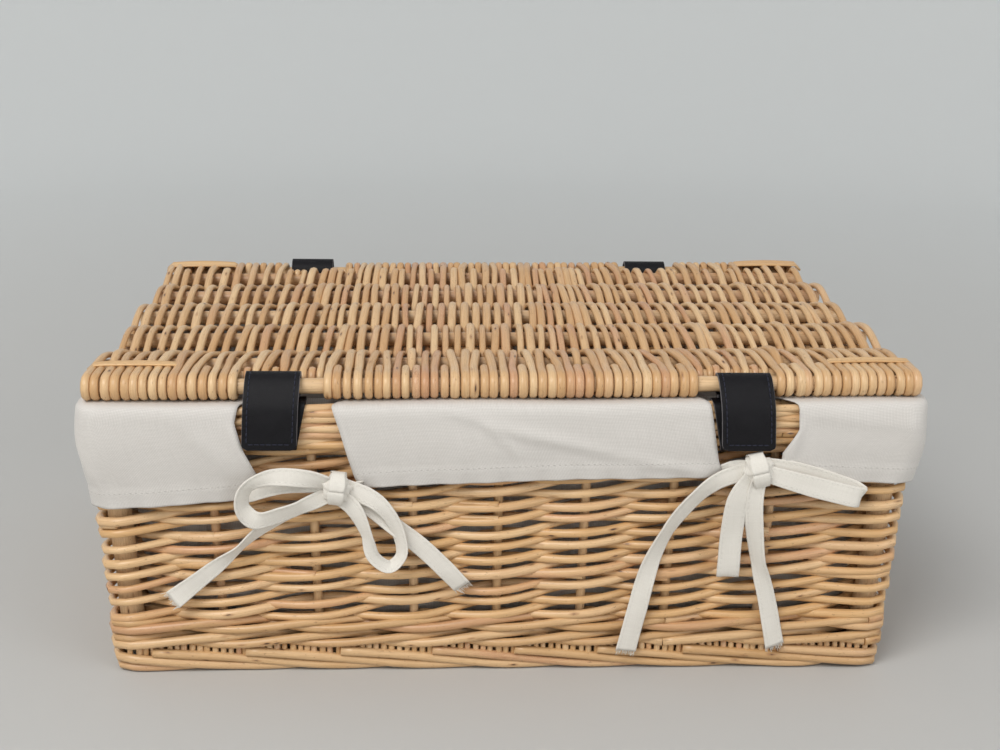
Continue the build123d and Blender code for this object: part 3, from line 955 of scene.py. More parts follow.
# %% A sheet from a table of points
def sheet_mesh(name, points, to_stitch=None):
    """points has a row for each step along the cloth and a column for each step across it."""
    rows, columns = points.shape[:2]
    bm = bmesh.new()
    bmesh.ops.create_grid(bm, x_segments=rows - 1, y_segments=columns - 1, size=0.5)
    for face in bm.faces:
        face.smooth = True
    mesh = bpy.data.meshes.new(name)
    bm.to_mesh(mesh)
    bm.free()
    co = np.empty(len(mesh.vertices) * 3)
    mesh.vertices.foreach_get("co", co)
    co = co.reshape(-1, 3)
    i = np.rint((co[:, 0] + 0.5) * (rows - 1)).astype(int)
    j = np.rint((co[:, 1] + 0.5) * (columns - 1)).astype(int)
    mesh.vertices.foreach_set("co", points[i, j].ravel())
    along = np.linalg.norm(np.diff(points, axis=0), axis=2).mean(axis=1)
    across = np.linalg.norm(np.diff(points, axis=1), axis=2)
    u = np.concatenate(([0], np.cumsum(along)))
    v = np.concatenate((np.zeros((rows, 1)), np.cumsum(across, axis=1)), axis=1)
    far = np.full((rows, columns), 1.0) if to_stitch is None else to_stitch
    mesh.attributes.new("cloth", "FLOAT_VECTOR", "POINT").data.foreach_set(
        "vector", np.column_stack((u[i], v[i, j], far[i, j])).ravel()
    )
    mesh.update()
    return mesh, float(u[-1]), float(v[:, -1].mean())


def solid(obj, thickness):
    """Give a sheet its thickness."""
    thick = obj.modifiers.new("thickness", "SOLIDIFY")
    thick.thickness = thickness
    thick.offset = 0.0
    return obj


# %% [markdown]
# ## Skirt of the liner
# The liner comes up inside, over the plaited rim and down the outside, and it is cut away at the four
# straps. A place on it is a distance round the rim and a step down its section. Creases run towards
# the ties, and the lower edge is a folded hem.

# %% Rim outline and skirt section
CORNER_R = 12 * MM
ARC = CORNER_R * math.pi / 2
RUN_X = RIM_X - CORNER_R
RUN_Y = RIM_Y - CORNER_R
LAP = 4 * (RUN_X + RUN_Y + ARC)


def outline(t, out):
    """A point of the rim's plan moved outwards: t runs from the middle of the front to the right.

    Towards the inside the corners stay wide, to leave room for the posts and the rods behind them.
    """
    t = (np.asarray(t) + LAP / 2) % LAP - LAP / 2
    side, t = np.sign(t), np.abs(t)
    inward = np.clip(-out, 0, 18 * MM)
    corner = CORNER_R + np.maximum(out, 0) + 5.5 * MM * (inward / (15 * MM)) ** 2
    run_x, run_y = RIM_X + out - corner, RIM_Y + out - corner
    a1 = np.clip((t - RUN_X) / ARC, 0, 1) * math.pi / 2
    a2 = np.clip((t - RUN_X - ARC - 2 * RUN_Y) / ARC, 0, 1) * math.pi / 2
    along_front = np.clip(t, 0, RUN_X) / RUN_X
    along_side = np.clip(t - RUN_X - ARC, 0, 2 * RUN_Y) / RUN_Y
    along_back = np.clip(t - RUN_X - 2 * ARC - 2 * RUN_Y, 0, RUN_X) / RUN_X
    x = (along_front - along_back) * run_x + corner * np.sin(a1 + a2)
    y = (along_side - 1) * run_y - corner * np.cos(a1 + a2)
    return np.stack((side * x, y + MID_Y), axis=-1)


def weave_out(z):
    """How far the body's outer face is from the rim's, outwards, at a height."""
    return half_plan(np.minimum(z, RIM_BOTTOM))[0] - RIM_X


def table(pairs):
    """A value that changes along a list of (place, value) pairs."""
    at, value = np.array(pairs, float).T
    return lambda x: np.interp(x, at, value)


def skirt(name, starts, ends, hem, creases, nodes):
    """A stretch of skirt between two cut edges, each given as (height, distance round the rim) pairs."""
    start, end = table(sorted(starts)), table(sorted(ends))
    length = float(end(RIM_TOP) - start(RIM_TOP))
    rows = int(length / (2.2 * MM)) + 1
    u = np.linspace(0, 1, rows)[:, None]
    hem_z = table(hem)(start(0.125) + u * (end(0.125) - start(0.125)))
    over = [(-17.4, 150.5), (-17.2, 155), (-16.2, 159.3), (-13.0, 161.6), (-9, 161.7), (-4.5, 161.6)]
    over += [(-1.2, 161.5), (1.2, 160.6), (2.4, 158.4), (2.6, 155.0)]
    down = np.round(np.concatenate((np.linspace(0.05, 0.84, 16), np.linspace(0.86, 1.0, 8))), 4)
    tops = np.array(over) * MM
    z = np.hstack((np.broadcast_to(tops[:, 1], (rows, len(over))), 0.155 + (hem_z - 0.155) * down[None, :]))
    soft = np.clip((RIM_BOTTOM + 9 * MM - z) / (46 * MM), 0, 1)
    soft = soft * soft * (3 - 2 * soft)
    lower = 2.6 * MM + (weave_out(z) + 1.7 * MM - 2.6 * MM) * soft
    out = np.hstack((np.broadcast_to(tops[:, 0], (rows, len(over))), lower[:, len(over):]))
    t = start(z) + u * (end(z) - start(z))
    wave = chance.uniform(0, 6, 4)
    relief = 0.35 * MM * np.sin(t * 61 + wave[0]) * np.sin(z * 90 + wave[1])
    relief = relief + 0.25 * MM * np.sin(t * 143 + z * 70 + wave[2])
    for (t0, z0), (t1, z1), height, width in creases:
        run = np.array((t1 - t0, z1 - z0)) * MM
        share = ((t - t0 * MM) * run[0] + (z - z0 * MM) * run[1]) / (run @ run)
        inside = np.clip(share, 0, 1)
        near = np.hypot(t - t0 * MM - inside * run[0], z - z0 * MM - inside * run[1])
        fade = np.sin(np.clip(share * 0.86 + 0.14, 0, 1) * math.pi) ** 0.6
        relief = relief + height * MM * np.exp(-((near / (width * MM)) ** 2)) * fade
    to_hem = z - hem_z
    relief = relief + 0.5 * MM * (to_hem < 9.3 * MM)
    relief = relief + 0.5 * MM * np.sin(t * 330 + wave[3]) * np.exp(-to_hem / (7 * MM))
    outer = np.clip((np.arange(z.shape[1]) - 4) / 5, 0, 1)
    low_limit = np.where(z < RIM_BOTTOM - 6 * MM, -0.4 * MM, -0.6 * MM)
    out = out + np.maximum(relief, low_limit) * outer
    plan = outline(t, out)
    points = np.dstack((plan, z + 0.5 * MM * np.sin(t * 47 + wave[0]) * (1 - outer)))
    mesh, run_length, run_depth = sheet_mesh(name, points, to_hem - 8.6 * MM)
    obj = solid(place(mesh, "basket", liner_finish, "cotton", nodes), 0.7 * MM)
    print(f"{name}: {run_length * 1000:.0f} mm round, {run_depth * 1000:.0f} mm from edge to hem")
    return obj


# %% Skirts
BACK_T = RUN_X * 2 + RUN_Y * 2 + 2 * ARC


def front_edge(pairs):
    return [(z * MM, x * MM) for x, z in pairs]


def back_edge(x, side):
    """A straight cut edge at the back, as distance round the rim on the left or right."""
    return [(z, side * (BACK_T - abs(x) * MM)) for z in (0.09, 0.17)]


skirt(
    "liner_skirt_left",
    back_edge(148.5, -1),
    front_edge([(-142.6, 161), (-144.5, 152.5), (-140.4, 137.7), (-133.5, 122), (-131, 106)]),
    [(-0.6, 0.108), (-0.245, 0.103), (-0.222, 0.102), (-0.193, 0.1035), (-0.15, 0.107), (-0.133, 0.1125)],
    [
        ((-146, 150), (-136, 116), 1.6, 3.5),
        ((-236, 158), (-219, 112), 1.0, 3.0),
        ((-175, 155), (-140, 118), 0.7, 5),
    ],
    ["flap_front_left", "flap_left_end", "flap_back_left"],
)
skirt(
    "liner_skirt_front",
    front_edge([(-94.5, 164), (-89.7, 149), (-82.6, 123.5), (-79, 112)]),
    front_edge([(107.7, 165), (110, 154), (114.4, 130), (118, 119)]),
    [(-0.09, 0.1135), (-0.06, 0.1155), (0.0286, 0.1185), (0.118, 0.1195)],
    [
        ((-40, 163), (-9, 150), 1.3, 3.0),
        ((-9, 150), (64, 132), 1.5, 3.4),
        ((64, 132), (112, 121), 1.0, 3.4),
        ((-11, 151), (8, 131), 1.0, 2.6),
        ((100, 148), (115, 124), 0.9, 3.0),
        ((-86, 140), (-76, 119), 0.9, 3.2),
    ],
    ["flap_front_middle"],
)
skirt(
    "liner_skirt_right",
    front_edge([(153, 165), (156.4, 160), (157, 147), (149, 134), (148.4, 116)]),
    back_edge(139.5, 1),
    [(0.14, 0.119), (0.167, 0.1175), (0.223, 0.1145), (0.26, 0.113), (0.6, 0.112)],
    [
        ((158, 150), (150, 124), 1.5, 3.2),
        ((160, 156), (224, 148), 0.9, 4.5),
        ((219, 152), (232, 122), 1.6, 6),
    ],
    ["flap_front_right", "flap_right_end", "flap_back_right"],
)
skirt(
    "liner_skirt_back",
    [(z, BACK_T - 88.5 * MM) for z in (0.09, 0.17)],
    [(z, BACK_T + 97.5 * MM) for z in (0.09, 0.17)],
    [(BACK_T - 0.1, 0.109), (BACK_T + 0.1, 0.107)],
    [((1100, 150), (1140, 120), 1.0, 3.0)],
    ["flap_back_middle"],
)

# %% [markdown]
# ## Bag of the liner
# Inside, the liner is a bag that follows the four sides and lies on the base. It is loose at the bottom,
# so it sags into the corners with a few shallow folds.

# %% Liner bag
tub_low, tub_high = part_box("liner_tub")
lap_steps = 240
around = np.linspace(0, LAP, lap_steps + 1)
wall_z = np.linspace(tub_high.z - 0.5 * MM, tub_low.z + 12 * MM, 14)
sections = [(half_plan(z)[0] - RIM_X - 15.8 * MM, z) for z in wall_z]
floor_out = half_plan(tub_low.z)[0] - RIM_X - 15.8 * MM
sections += [(floor_out - 0.8 * MM, tub_low.z + 6 * MM), (floor_out - 3.5 * MM, tub_low.z + 2 * MM)]
sections += [(floor_out - 9 * MM, tub_low.z + 0.8 * MM)]
rows = []
for out, z in sections:
    plan = outline(around, np.full(around.shape, out))
    loose = np.clip((0.158 - z) / 0.03, 0, 1) * np.clip((z - 0.03) / 0.02, 0, 1)
    folds = 0.8 * MM * np.sin(around * 37 + z * 40) * loose
    centre = np.array((0, MID_Y))
    away = unit(plan - centre)
    rows.append(np.column_stack((plan - away * np.abs(folds)[:, None], np.full(len(plan), z))))
rim_plan = rows[-1][:, :2]
for share in (0.8, 0.6, 0.4, 0.2, 0.0):
    plan = (rim_plan - (0, MID_Y)) * share + (0, MID_Y)
    swell = 0.5 * MM * np.sin(plan[:, 0] * 50) * np.sin(plan[:, 1] * 60) + 0.6 * MM
    rows.append(np.column_stack((plan, tub_low.z + 0.6 * MM + np.abs(swell) * (share > 0))))
bag_points = np.array(rows).transpose(1, 0, 2)
bag_mesh, _, _ = sheet_mesh("liner_bag", bag_points)
bm = bmesh.new()
bm.from_mesh(bag_mesh)
bmesh.ops.remove_doubles(bm, verts=bm.verts, dist=0.01 * MM)
bmesh.ops.recalc_face_normals(bm, faces=bm.faces)
bm.to_mesh(bag_mesh)
bm.free()
bag = solid(place(bag_mesh, "basket", liner_finish, "cotton", ["liner_tub"]), 0.7 * MM)

# %% [markdown]
# ## Bows
# Each bow is two cotton tapes, folded and stitched along both edges. A tape is a strip laid along a smooth
# line in front of the weave. Most of it lies flat and bends in its own plane; where it hangs as a loop it
# folds over on itself, and there its width keeps one direction all the way.

# %% Tapes
def front_y(z, off):
    """Where the front of the body is at a height, plus a distance towards the viewer."""
    return MID_Y - half_plan(z)[1] - off


def on_front(points):
    """(x, z, off) in millimetres to places in front of the weave."""
    x, z, off = np.array(points, float)[:, :3].T * MM
    return np.column_stack((x, front_y(z, off), z))


def tape(name, points, width, node=(), across=None, twist=()):
    """A strip of tape along (x, z, off) points, with a width direction or lying flat."""
    line = smooth_line(on_front(points), 1.6 * MM)
    rows = len(line)
    tangent = unit(np.gradient(line, axis=0))
    if across is None:
        side = unit(np.cross(tangent, np.broadcast_to((0, -1, -SIDE_LEAN), line.shape)))
    else:
        along = tangent @ np.array(across, float)
        side = unit(np.broadcast_to(across, line.shape) - tangent * along[:, None])
    normal = np.cross(side, tangent)
    share = np.linspace(0, 1, rows)
    if len(twist):
        angle = np.radians(np.interp(share, *np.array(twist, float).T))[:, None]
        turned = side * np.cos(angle) + normal * np.sin(angle)
        normal = normal * np.cos(angle) - side * np.sin(angle)
        side = turned
    widths = np.interp(share, np.linspace(0, 1, len(np.atleast_1d(width))), np.atleast_1d(width)) * MM
    steps = np.array((-1, -0.86, -0.7, -0.35, 0, 0.35, 0.7, 0.86, 1)) / 2
    wave = np.sin(share * chance.uniform(14, 22) + chance.uniform(0, 6))
    ripple = 0.4 * MM * wave[:, None] * (steps * 2)[None, :]
    edge = 0.25 * MM * (np.abs(steps) > 0.42)
    lift = ripple + edge[None, :] + 0.35 * MM * np.cos(steps * math.pi)[None, :]
    grid = line[:, None, :] + side[:, None, :] * (widths[:, None] * steps[None, :])[..., None]
    grid = grid + normal[:, None, :] * lift[..., None]
    to_edge = widths[:, None] * (0.5 - np.abs(steps))[None, :] - 1.6 * MM
    mesh, length, depth = sheet_mesh(name, grid, to_edge)
    obj = solid(place(mesh, "basket", tape_finish, "tie_tape", node), 0.9 * MM)
    TAPE_LENGTHS[name] = round(length * 1000)
    return line[-1], tangent[-1], side[-1], widths[-1]


TAPE_LENGTHS = {}
bow_ends = []
tape(
    "left_bow_left_loop",
    [
        (-92, 118, 8), (-106, 122.5, 11), (-128, 123.5, 12), (-139.5, 117, 12),
        (-141.5, 106, 11.5), (-135, 98.5, 10.5), (-119, 102, 9), (-95, 112, 7),
    ],
    (9, 10.5, 9.5, 8, 9, 10, 10.5, 9.5, 8),
    ["left_bow_outer_tape"],
    twist=((0, 25), (0.25, -18), (0.42, 30), (0.55, 42), (0.68, -12), (0.85, -28), (1, 15)),
)
bow_ends.append(tape(
    "left_bow_left_tail",
    [(-92, 113, 5.5), (-112, 103, 5), (-133, 90, 4), (-146, 78, 3.8), (-160, 66, 3.8), (-182, 47.5, 3.4)],
    (8.5, 10, 8.5, 7.5, 9.5, 11.5),
    twist=((0, 10), (0.3, 35), (0.55, 48), (0.75, 8), (1, -8)),
))
tape(
    "left_bow_right_loop",
    [
        (-91, 113, 9), (-82, 105, 11), (-75, 90, 12.5), (-71.5, 77, 12.5), (-63, 70.5, 11.5),
        (-56.5, 76.5, 10), (-58.5, 91, 8.5), (-69, 107, 8.5), (-90, 118, 7),
    ],
    (9, 9.5, 8, 7, 7, 8, 8.5, 10, 8.5),
    ["left_bow_inner_tape"],
    twist=((0, 10), (0.25, -38), (0.5, 48), (0.62, 30), (0.8, -14), (1, -10)),
)
bow_ends.append(tape(
    "left_bow_right_tail",
    [(-90, 115, 6), (-73, 103, 6), (-58, 90, 5.5), (-46, 79.5, 4.6), (-34, 67, 4), (-23.5, 55, 3.4)],
    (8.5, 9, 9.5, 10, 10, 11),
    twist=((0, -12), (0.4, 28), (0.7, 12), (1, -12)),
))
bow_ends.append(tape(
    "right_bow_long_tail",
    [(134, 125, 7), (114, 118, 7), (95, 97.5, 4.6), (82.5, 73, 3.8), (74.5, 38, 3.6), (69.6, 14.5, 4.2)],
    (9, 10, 9.5, 10, 11, 12),
    ["right_bow_inner_tape"],
    twist=((0, -26), (0.25, 22), (0.45, 34), (0.7, -8), (1, 10)),
))
tape(
    "right_bow_down_loop",
    [
        (133, 123, 11), (126, 110, 11.5), (123.8, 88, 9.5), (123.8, 64, 8.4), (123.9, 61.2, 6.9),
        (124.0, 64, 5.2), (125, 88, 5.5), (128.5, 108, 6.2), (135, 122, 7),
    ],
    (9, 12.5, 13, 12.5, 12.5, 12, 12, 11, 9),
    across=(1, 0.12, 0),
)
bow_ends.append(tape(
    "right_bow_right_tail",
    [(136, 121, 11), (134.5, 108, 11), (139.5, 75, 7), (147, 48, 4.6), (154.3, 17, 4.2)],
    (9, 10, 9, 10, 11.5),
    ["right_bow_outer_tape"],
    twist=((0, 18), (0.3, -30), (0.5, -36), (0.75, 8), (1, 14)),
))
tape(
    "right_bow_right_loop",
    [
        (138, 124.5, 11), (158, 118.5, 11.5), (180, 112, 10), (192, 108.8, 8.8), (194.6, 108.6, 7.2),
        (192, 110.6, 5.6), (178, 116.5, 5.4), (158, 123.5, 6.4), (139, 127.5, 7.5),
    ],
    (9, 10.5, 11.5, 11.5, 11.5, 11, 10.5, 10, 8.5),
    across=(0.27, 0.1, 0.96),
)
links = {
    "left_bow_left_link": [(-141, 111, 4.4), (-122, 114.5, 4.8), (-98, 116, 6.5)],
    "left_bow_right_link": [(-79, 114.5, 3.6), (-83, 116, 5), (-89, 117, 6.5)],
    "right_bow_left_link": [(117, 122, 3.6), (124, 126.5, 5), (131, 127.5, 6.5)],
    "right_bow_right_link": [(150, 121, 3.6), (146, 123.5, 5), (140, 125.5, 6.5)],
}
for name, points in links.items():
    tape(name, points, (9.5, 5.5, 5), twist=((0, 0), (0.6, 30), (1, 0)))
print("tapes, in millimetres:", TAPE_LENGTHS)

# %% [markdown]
# The cut ends of the tapes are frayed: a few loose threads of the same cotton run on past each end.

# %% Frayed ends
frays = Bundle()
for (end, way, side, width) in bow_ends:
    for k in range(26):
        across = (k / 25 - 0.5) * width * 0.96
        reach = chance.uniform(1.0, 4.2) * MM * (1.4 if chance.uniform() > 0.85 else 1)
        bend = unit(way + side * chance.normal(0, 0.28) + np.array((0, chance.normal(0, 0.2), 0)))
        start = end + side * across - way * 1.2 * MM
        path = smooth_line([start, start + way * 1.4 * MM, start + way * 1.2 * MM + bend * reach], 1.4 * MM)
        frays.rod(path, 0.17 * MM, (0, -1, 0.1), sides=5)
fray_mesh = frays.mesh("bow_frayed_threads")
cloth_of = fray_mesh.attributes.new("cloth", "FLOAT_VECTOR", "POINT")
cloth_of.data.foreach_set("vector", np.tile((0.001, 0.001, 1.0), len(fray_mesh.vertices)))
place(fray_mesh, "basket", tape_finish, "tie_tape")

# %% [markdown]
# A knot is a lump with folds that run into it from the tapes, and one band pulled round its middle.

# %% Knots
def tied_knot(name, x, z, node, half, lean):
    """A lump at a place on the front, with its band."""
    bm = bmesh.new()
    bmesh.ops.create_uvsphere(bm, u_segments=40, v_segments=24, radius=1)
    for face in bm.faces:
        face.smooth = True
    mesh = bpy.data.meshes.new(f"{name}_knot_lump")
    bm.to_mesh(mesh)
    bm.free()
    co = np.empty(len(mesh.vertices) * 3)
    mesh.vertices.foreach_get("co", co)
    co = co.reshape(-1, 3)
    angle = np.arctan2(co[:, 2], co[:, 0])
    folds = 1 + 0.09 * np.sin(angle * 7 + lean * 4) * (1 - co[:, 1] ** 2)
    folds += 0.06 * np.sin(angle * 12 + co[:, 1] * 5)
    body = co * folds[:, None] * np.array(half) * MM
    turned = np.array(Matrix.Rotation(lean, 3, "Y"))
    body = body @ turned.T
    centre = on_front([(x, z, 8.5)])[0]
    mesh.vertices.foreach_set("co", (body + centre).ravel())
    cloth = mesh.attributes.new("cloth", "FLOAT_VECTOR", "POINT")
    flat = np.column_stack((co[:, 0] * 0.008, co[:, 2] * 0.01, np.ones(len(co))))
    cloth.data.foreach_set("vector", flat.ravel())
    mesh.update()
    place(mesh, "basket", tape_finish, "tie_tape", [node])
    ring = []
    for step in range(37):
        a = math.tau * step / 36
        ring.append((math.cos(a) * (half[1] + 1.1) * MM, math.sin(a) * (half[2] * 0.93 + 1.0) * MM))
    columns = np.linspace(-1, 1, 9)
    grid = np.empty((37, 9, 3))
    for i, (depth, rise) in enumerate(ring):
        for j, c in enumerate(columns):
            pinch = (half[0] * 0.52 + 0.5 * math.sin(i * 0.6)) * MM
            ridge = 0.35 * MM * math.sin(c * 7.5 + i * 0.12)
            local = np.array((c * pinch, -depth - math.copysign(ridge, depth), rise))
            grid[i, j] = centre + turned @ local
    band_mesh, _, _ = sheet_mesh(f"{name}_knot_band", grid)
    bm = bmesh.new()
    bm.from_mesh(band_mesh)
    bmesh.ops.remove_doubles(bm, verts=bm.verts, dist=0.005 * MM)
    bm.to_mesh(band_mesh)
    bm.free()
    solid(place(band_mesh, "basket", tape_finish, "tie_tape"), 0.8 * MM)


tied_knot("left_bow", -91, 116, "left_bow_knot", (7.6, 5.0, 8.6), 0.12)
tied_knot("right_bow", 136, 125, "right_bow_knot", (8.4, 5.2, 9.2), -0.25)

# %% [markdown]
# ## Leather
# The straps are near-black leather with a fine grain, a dark blue stitch and a pale raw edge. The edge
# is found from the distance across the strap that the sheet already carries.

# %% Leather finish
def leather(name, width):
    f = Finish(name)
    cloth = f.attribute("cloth", 1)
    across = f.add("ShaderNodeSeparateXYZ", {}, {0: cloth}, 1)
    grain = {"Vector": cloth, "Scale": 1500.0}
    pebble = f.add("ShaderNodeTexVoronoi", {"feature": "DISTANCE_TO_EDGE"}, grain)
    wear = f.noise(f.stretch(cloth, (300, 300, 1)), 1.0, 3.0)
    from_edge = f.math_of("ABSOLUTE", across - width / 2)
    raw = f.band(from_edge, width / 2 - 0.00022, width / 2 - 0.00008)
    colour = f.mix(wear, (0.0028, 0.0025, 0.0036), (0.0058, 0.0052, 0.0074))
    colour = f.mix(raw * 0.75, colour, (0.20, 0.19, 0.2))
    height = f.band(pebble, 0.0, 0.25) + wear * 0.8
    return f.finish(
        Base_Color=colour,
        Roughness=wear * 0.2 + 0.4,
        Normal=f.bump(height, 0.00012, 0.45),
        Specular_IOR_Level=0.22,
    )


STRAP_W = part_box("front_strap_left")[1].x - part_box("front_strap_left")[0].x
LEATHER_T = 1.6 * MM
leather_finish = leather("strap_leather", STRAP_W)
thread = Finish("strap_thread")
thread_grain = thread.attribute("grain", 1)
thread_tone = thread.noise(thread_grain, 2600.0)
thread_finish = thread.finish(
    Base_Color=thread.mix(thread_tone, (0.006, 0.008, 0.022), (0.014, 0.017, 0.04)),
    Roughness=0.6,
    Normal=thread.bump(thread_tone, 0.0001),
)

# %% [markdown]
# ## Straps, hinge loops and keepers
# Each is one strip of leather that follows an outline seen from the side: (distance outwards, height)
# from the lid stick's axis. The hinge loop goes round the back stick and the plaited rim, the keeper
# only round the rim, and the front strap's tongue is a ring round the front stick that runs on down.

# %% Leather strips
def strip(
    name, body, node, outline_points, x_mid, axis_y, outward,
    shear=0.0, closed=False, bulge=None, round_end=False, wide=1.0,
):
    """A strip of leather across a side outline of (out, up) points in millimetres."""
    flat = np.array(outline_points, float) * MM
    line = smooth_line(np.column_stack((flat, np.zeros(len(flat)))), 1.3 * MM)[:, :2]
    rows = len(line)
    steps = np.concatenate(([-1, -0.985, -0.93], np.linspace(-0.82, 0.82, 11), [0.93, 0.985, 1])) / 2
    grid = np.empty((rows, len(steps), 3))
    tangent = unit(np.gradient(line, axis=0))
    normal = np.column_stack((-tangent[:, 1], tangent[:, 0]))
    run = np.concatenate(([0], np.cumsum(np.linalg.norm(np.diff(line, axis=0), axis=1))))
    for i in range(rows):
        half = STRAP_W * wide
        if round_end:
            left = run[-1] - run[i]
            radius = 3.2 * MM
            if left < radius:
                half = STRAP_W - 2 * (radius - math.sqrt(max(radius**2 - (radius - left) ** 2, 0)))
        lift = np.zeros(len(steps))
        if bulge:
            off = np.hypot(steps * STRAP_W, line[i, 1] - bulge * MM)
            lift = 0.55 * MM * np.exp(-((off / (5.2 * MM)) ** 4)) * (line[i, 0] > 8 * MM)
        out = line[i, 0] - normal[i, 0] * lift if normal[i, 0] < 0 else line[i, 0] + normal[i, 0] * lift
        grid[i, :, 0] = x_mid + steps * half + shear * (line[i, 1] - 6 * MM)
        grid[i, :, 1] = axis_y + outward * out
        grid[i, :, 2] = LID_AXIS_Z + line[i, 1]
    mesh, _, _ = sheet_mesh(name, grid)
    if closed:
        bm = bmesh.new()
        bm.from_mesh(mesh)
        bmesh.ops.remove_doubles(bm, verts=bm.verts, dist=0.005 * MM)
        bm.to_mesh(mesh)
        bm.free()
    obj = solid(place(mesh, body, leather_finish, "leatherette", [node], leaned=False), LEATHER_T)
    soft = obj.modifiers.new("soft_edges", "BEVEL")
    soft.width = 0.3 * MM
    soft.segments = 2
    soft.limit_method = "ANGLE"
    soft.angle_limit = math.radians(50)
    return grid, line


def stitches(bundle, grid, line, first, last, inset):
    """A row of stitches near one edge of a strip, lying on its outer face."""
    side = np.sign(inset)
    column = grid.shape[1] // 2
    run = np.concatenate(([0], np.cumsum(np.linalg.norm(np.diff(line, axis=0), axis=1))))
    edge = grid[:, 0 if side < 0 else -1]
    spot = edge - side * np.array((abs(inset), 0, 0))
    tangent = unit(np.gradient(spot, axis=0))
    face = unit(np.cross(tangent, (1, 0, 0)))
    centre = grid[:, column].mean(axis=0)
    face *= np.sign(((spot - centre) * face).sum(axis=1, keepdims=True) + 1e-9)
    at = first
    while at + 2.4 * MM < last:
        ends = []
        for s, lift in ((at, 0.62), (at + 0.6 * MM, 1.0), (at + 1.8 * MM, 1.0), (at + 2.4 * MM, 0.62)):
            place_on = np.array([np.interp(s, run, spot[:, k]) for k in range(3)])
            way = np.array([np.interp(s, run, face[:, k]) for k in range(3)])
            ends.append(place_on + way * lift * MM)
        bundle.rod(np.array(ends), 0.3 * MM, way, sides=6)
        at += 3.1 * MM


keeper_out = -(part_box("strap_keeper_left")[0].y - EDGE_FRONT_Y) * 1000 - 0.8
tongue_out = -(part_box("front_strap_left")[0].y - EDGE_FRONT_Y) * 1000 - 0.8
rim_low_up = (RIM_BOTTOM - LID_AXIS_Z) * 1000
rim_top_up = (RIM_TOP - LID_AXIS_Z) * 1000
RING_R = 6.1
ring_angles = [math.radians(a) for a in (-60, -90, -125, -160, -195, -230, -262)]
tongue = [(RING_R * math.cos(a), RING_R * math.sin(a)) for a in ring_angles]
tongue += [(3.7, 5.1), (7.3, 2.2), (11.2, -3.4), (14.0, -9.5)]
tongue += [(tongue_out, up) for up in (-16, -24, -32.2)]
for side, shear in (("left", 0.05), ("right", -0.06)):
    x_mid = middle(f"front_strap_{side}").x
    grid, line = strip(
        f"front_strap_{side}_leather", f"strap_{side}", f"front_strap_{side}",
        tongue, x_mid, EDGE_FRONT_Y, -1, shear=shear, bulge=-19.5, round_end=True,
    )
    sewing = Bundle()
    total = np.linalg.norm(np.diff(line, axis=0), axis=1).sum()
    for inset in (-2.5 * MM, 2.5 * MM):
        stitches(sewing, grid, line, total - 44 * MM, total - 1.8 * MM, inset)
    bottom = grid[-3, :, :]
    for k in range(7):
        x0 = bottom[:, 0].min() + 3.6 * MM + k * 3.15 * MM
        y0 = bottom[:, 1].mean() - 0.95 * MM
        z0 = bottom[:, 2].mean() + 0.6 * MM
        shape = ((0, 0.3), (0.6, 0), (1.8, 0), (2.4, 0.3))
        path = [(x0 + run * MM, y0 + sunk * MM, z0) for run, sunk in shape]
        sewing.rod(path, 0.3 * MM, (0, -1, 0), sides=6)
    sewing_mesh = sewing.mesh(f"front_strap_{side}_stitches")
    place(sewing_mesh, f"strap_{side}", thread_finish, "leatherette", leaned=False)
    mid_out = keeper_out - 0.8 - 0.3 - 6
    keeper = [
        (keeper_out, (rim_low_up + rim_top_up) / 2),
        (keeper_out, rim_low_up + 2), (keeper_out - 1.6, rim_low_up - 0.9),
        (mid_out, rim_low_up - 1.1), (mid_out - 5.4, rim_low_up - 0.9), (mid_out - 7.1, rim_low_up + 2),
        (mid_out - 7.1, rim_top_up - 2), (mid_out - 5.4, rim_top_up + 1.2), (mid_out, rim_top_up + 1.5),
        (keeper_out - 1.6, rim_top_up + 1.2), (keeper_out, rim_top_up - 2),
        (keeper_out, (rim_low_up + rim_top_up) / 2),
    ]
    way = 1 if side == "left" else -1
    strip(
        f"keeper_{side}_leather", "basket", f"strap_keeper_{side}",
        keeper, x_mid + way * 7 * MM, EDGE_FRONT_Y, -1, shear=way * 0.2, closed=True, wide=0.9,
    )
    hinge_mid = middle(f"hinge_strap_{side}").x
    hinge = [
        (keeper_out, -14), (keeper_out, rim_low_up + 1),
        (keeper_out - 1.6, rim_low_up - 1.7), (mid_out, rim_low_up - 2.1),
        (mid_out - 5.4, rim_low_up - 1.7), (mid_out - 7.1, rim_low_up + 1), (mid_out - 7.3, -14),
        (-7.2, -3), (-5.8, 4.4), (0.2, 8.0), (6.2, 5.6), (9.4, -1),
        (keeper_out - 0.4, -7.5), (keeper_out, -14),
    ]
    strip(
        f"hinge_{side}_leather", "basket", f"hinge_strap_{side}",
        hinge, hinge_mid, EDGE_BACK_Y, 1, closed=True,
    )

# %% [markdown]
# The press studs are pressed nickel caps: a socket behind the tongue and a ball on the keeper.

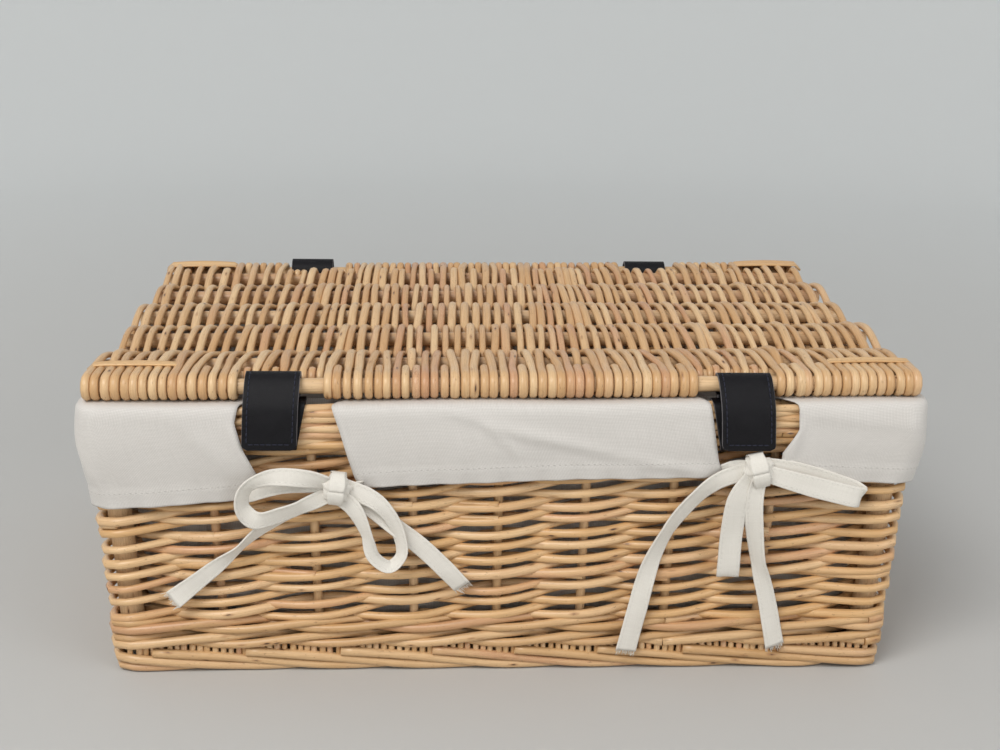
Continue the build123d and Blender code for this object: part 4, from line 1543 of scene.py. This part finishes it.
# %% Press studs
nickel = Finish("stud_nickel")
place_on_stud = nickel.add("ShaderNodeTexCoord", {}, {}, 3)
scratch = nickel.noise(nickel.stretch(place_on_stud, (900, 900, 5200)), 1.0, 3.0)
tarnish = nickel.noise(place_on_stud, 420.0, 3.0)
nickel_finish = nickel.finish(
    Base_Color=nickel.mix(tarnish, (0.62, 0.6, 0.57), (0.44, 0.43, 0.42)),
    Metallic=1.0,
    Roughness=scratch * 0.3 + 0.2,
    Normal=nickel.bump(scratch, 0.00004, 0.4),
)
for side in ("left", "right"):
    for kind, body in (("ball", "basket"), ("socket", f"strap_{side}")):
        node = f"stud_{kind}_{side}"
        low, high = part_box(node)
        centre = (low + high) / 2
        radius, deep = (high.x - low.x) / 2, high.y - low.y
        lie_back = Matrix.Translation(centre) @ Matrix.Rotation(math.radians(90), 4, "X")
        bm = bmesh.new()
        bmesh.ops.create_cone(
            bm, cap_ends=True, segments=40, radius1=radius, radius2=radius, depth=deep, matrix=lie_back,
        )
        rims = [e for e in bm.edges if any(len(f.verts) > 4 for f in e.link_faces)]
        bmesh.ops.bevel(
            bm, geom=rims, offset=0.35 * MM, segments=3, profile=0.5, affect="EDGES", material=-1,
        )
        for face in bm.faces:
            face.smooth = True
        mesh = bpy.data.meshes.new(f"stud_{kind}_{side}_cap")
        bm.to_mesh(mesh)
        bm.free()
        place(mesh, body, nickel_finish, "stud_metal", [node], leaned=False)

# %% [markdown]
# ## Base
# The base is a flat panel: thin rods over and under six sticks, like the lid but closer. Under the wale
# the ends of its rods are wrapped round the edge, and they show as a row of short upright turns.

# %% Base panel
base_low, base_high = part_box("base_weave")
base_mid_z = middle("base_sticks").z
stick_low, stick_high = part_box("base_sticks")
bundle = Bundle()
base_ys = np.linspace(stick_low.y + 3.5 * MM, stick_high.y - 3.5 * MM, 6)
for y in base_ys:
    xs = np.linspace(stick_low.x, stick_high.x, 40)
    path = np.column_stack((xs, np.full(40, y), np.full(40, base_mid_z)))
    bundle.rod(path, 3.4 * MM, (0, 0, 1), sides=12)
place(bundle.mesh("base_sticks_peeled"), "basket", stick_finish, "sticks", ["base_sticks"])
base_rods = Bundle()
count = int((base_high.x - base_low.x - 10 * MM) / (4.35 * MM))
for p in range(count):
    x = base_low.x + 5 * MM + p * (base_high.x - base_low.x - 10 * MM) / (count - 1)
    inset = 12 * MM if abs(x) > base_high.x - 14 * MM else 0
    points = [(x, base_low.y + 2.5 * MM + inset, base_mid_z - 1 * MM)]
    for row, y in enumerate(base_ys):
        points.append((x, y, base_mid_z + (5.0 if (row + p) % 2 else -5.0) * MM))
    points.append((x, base_high.y - 2.5 * MM - inset, base_mid_z))
    line = smooth_line(points, 9 * MM)
    base_rods.rod(line, 1.5 * MM, sideways(line), sides=6, flat=0.85)
place(base_rods.mesh("base_rods"), "basket", weaver_finish, "woven_rods", ["base_weave"])
edge_turns = Bundle()
gap_mid = (foot_high.z + wale_low.z) / 2
for side, (out_x, out_y) in OUTWARD.items():
    half = (half_plan(gap_mid)[0] if out_y else half_plan(gap_mid)[1]) - 9 * MM
    far = (half_plan(gap_mid)[1] if out_y else half_plan(gap_mid)[0]) - 4.2 * MM
    for run in np.arange(-half, half, 4.3 * MM):
        run += chance.normal(0, 0.25 * MM)
        spot = np.array((out_x * far + out_y * run, out_y * far + out_x * run + MID_Y))
        ups = ((8.0, 0.8), (10.4, 1.6), (13.6, 1.7), (17.5, 0.4))
        path = [(spot[0] + out_x * o * MM, spot[1] + out_y * o * MM, z * MM) for z, o in ups]
        radius = 1.75 * MM * chance.uniform(0.85, 1.1)
        edge_turns.rod(np.array(path), radius, (out_x, out_y, 0), sides=7, flat=0.7)
place(edge_turns.mesh("base_edge_turns"), "basket", weaver_finish, "woven_rods")
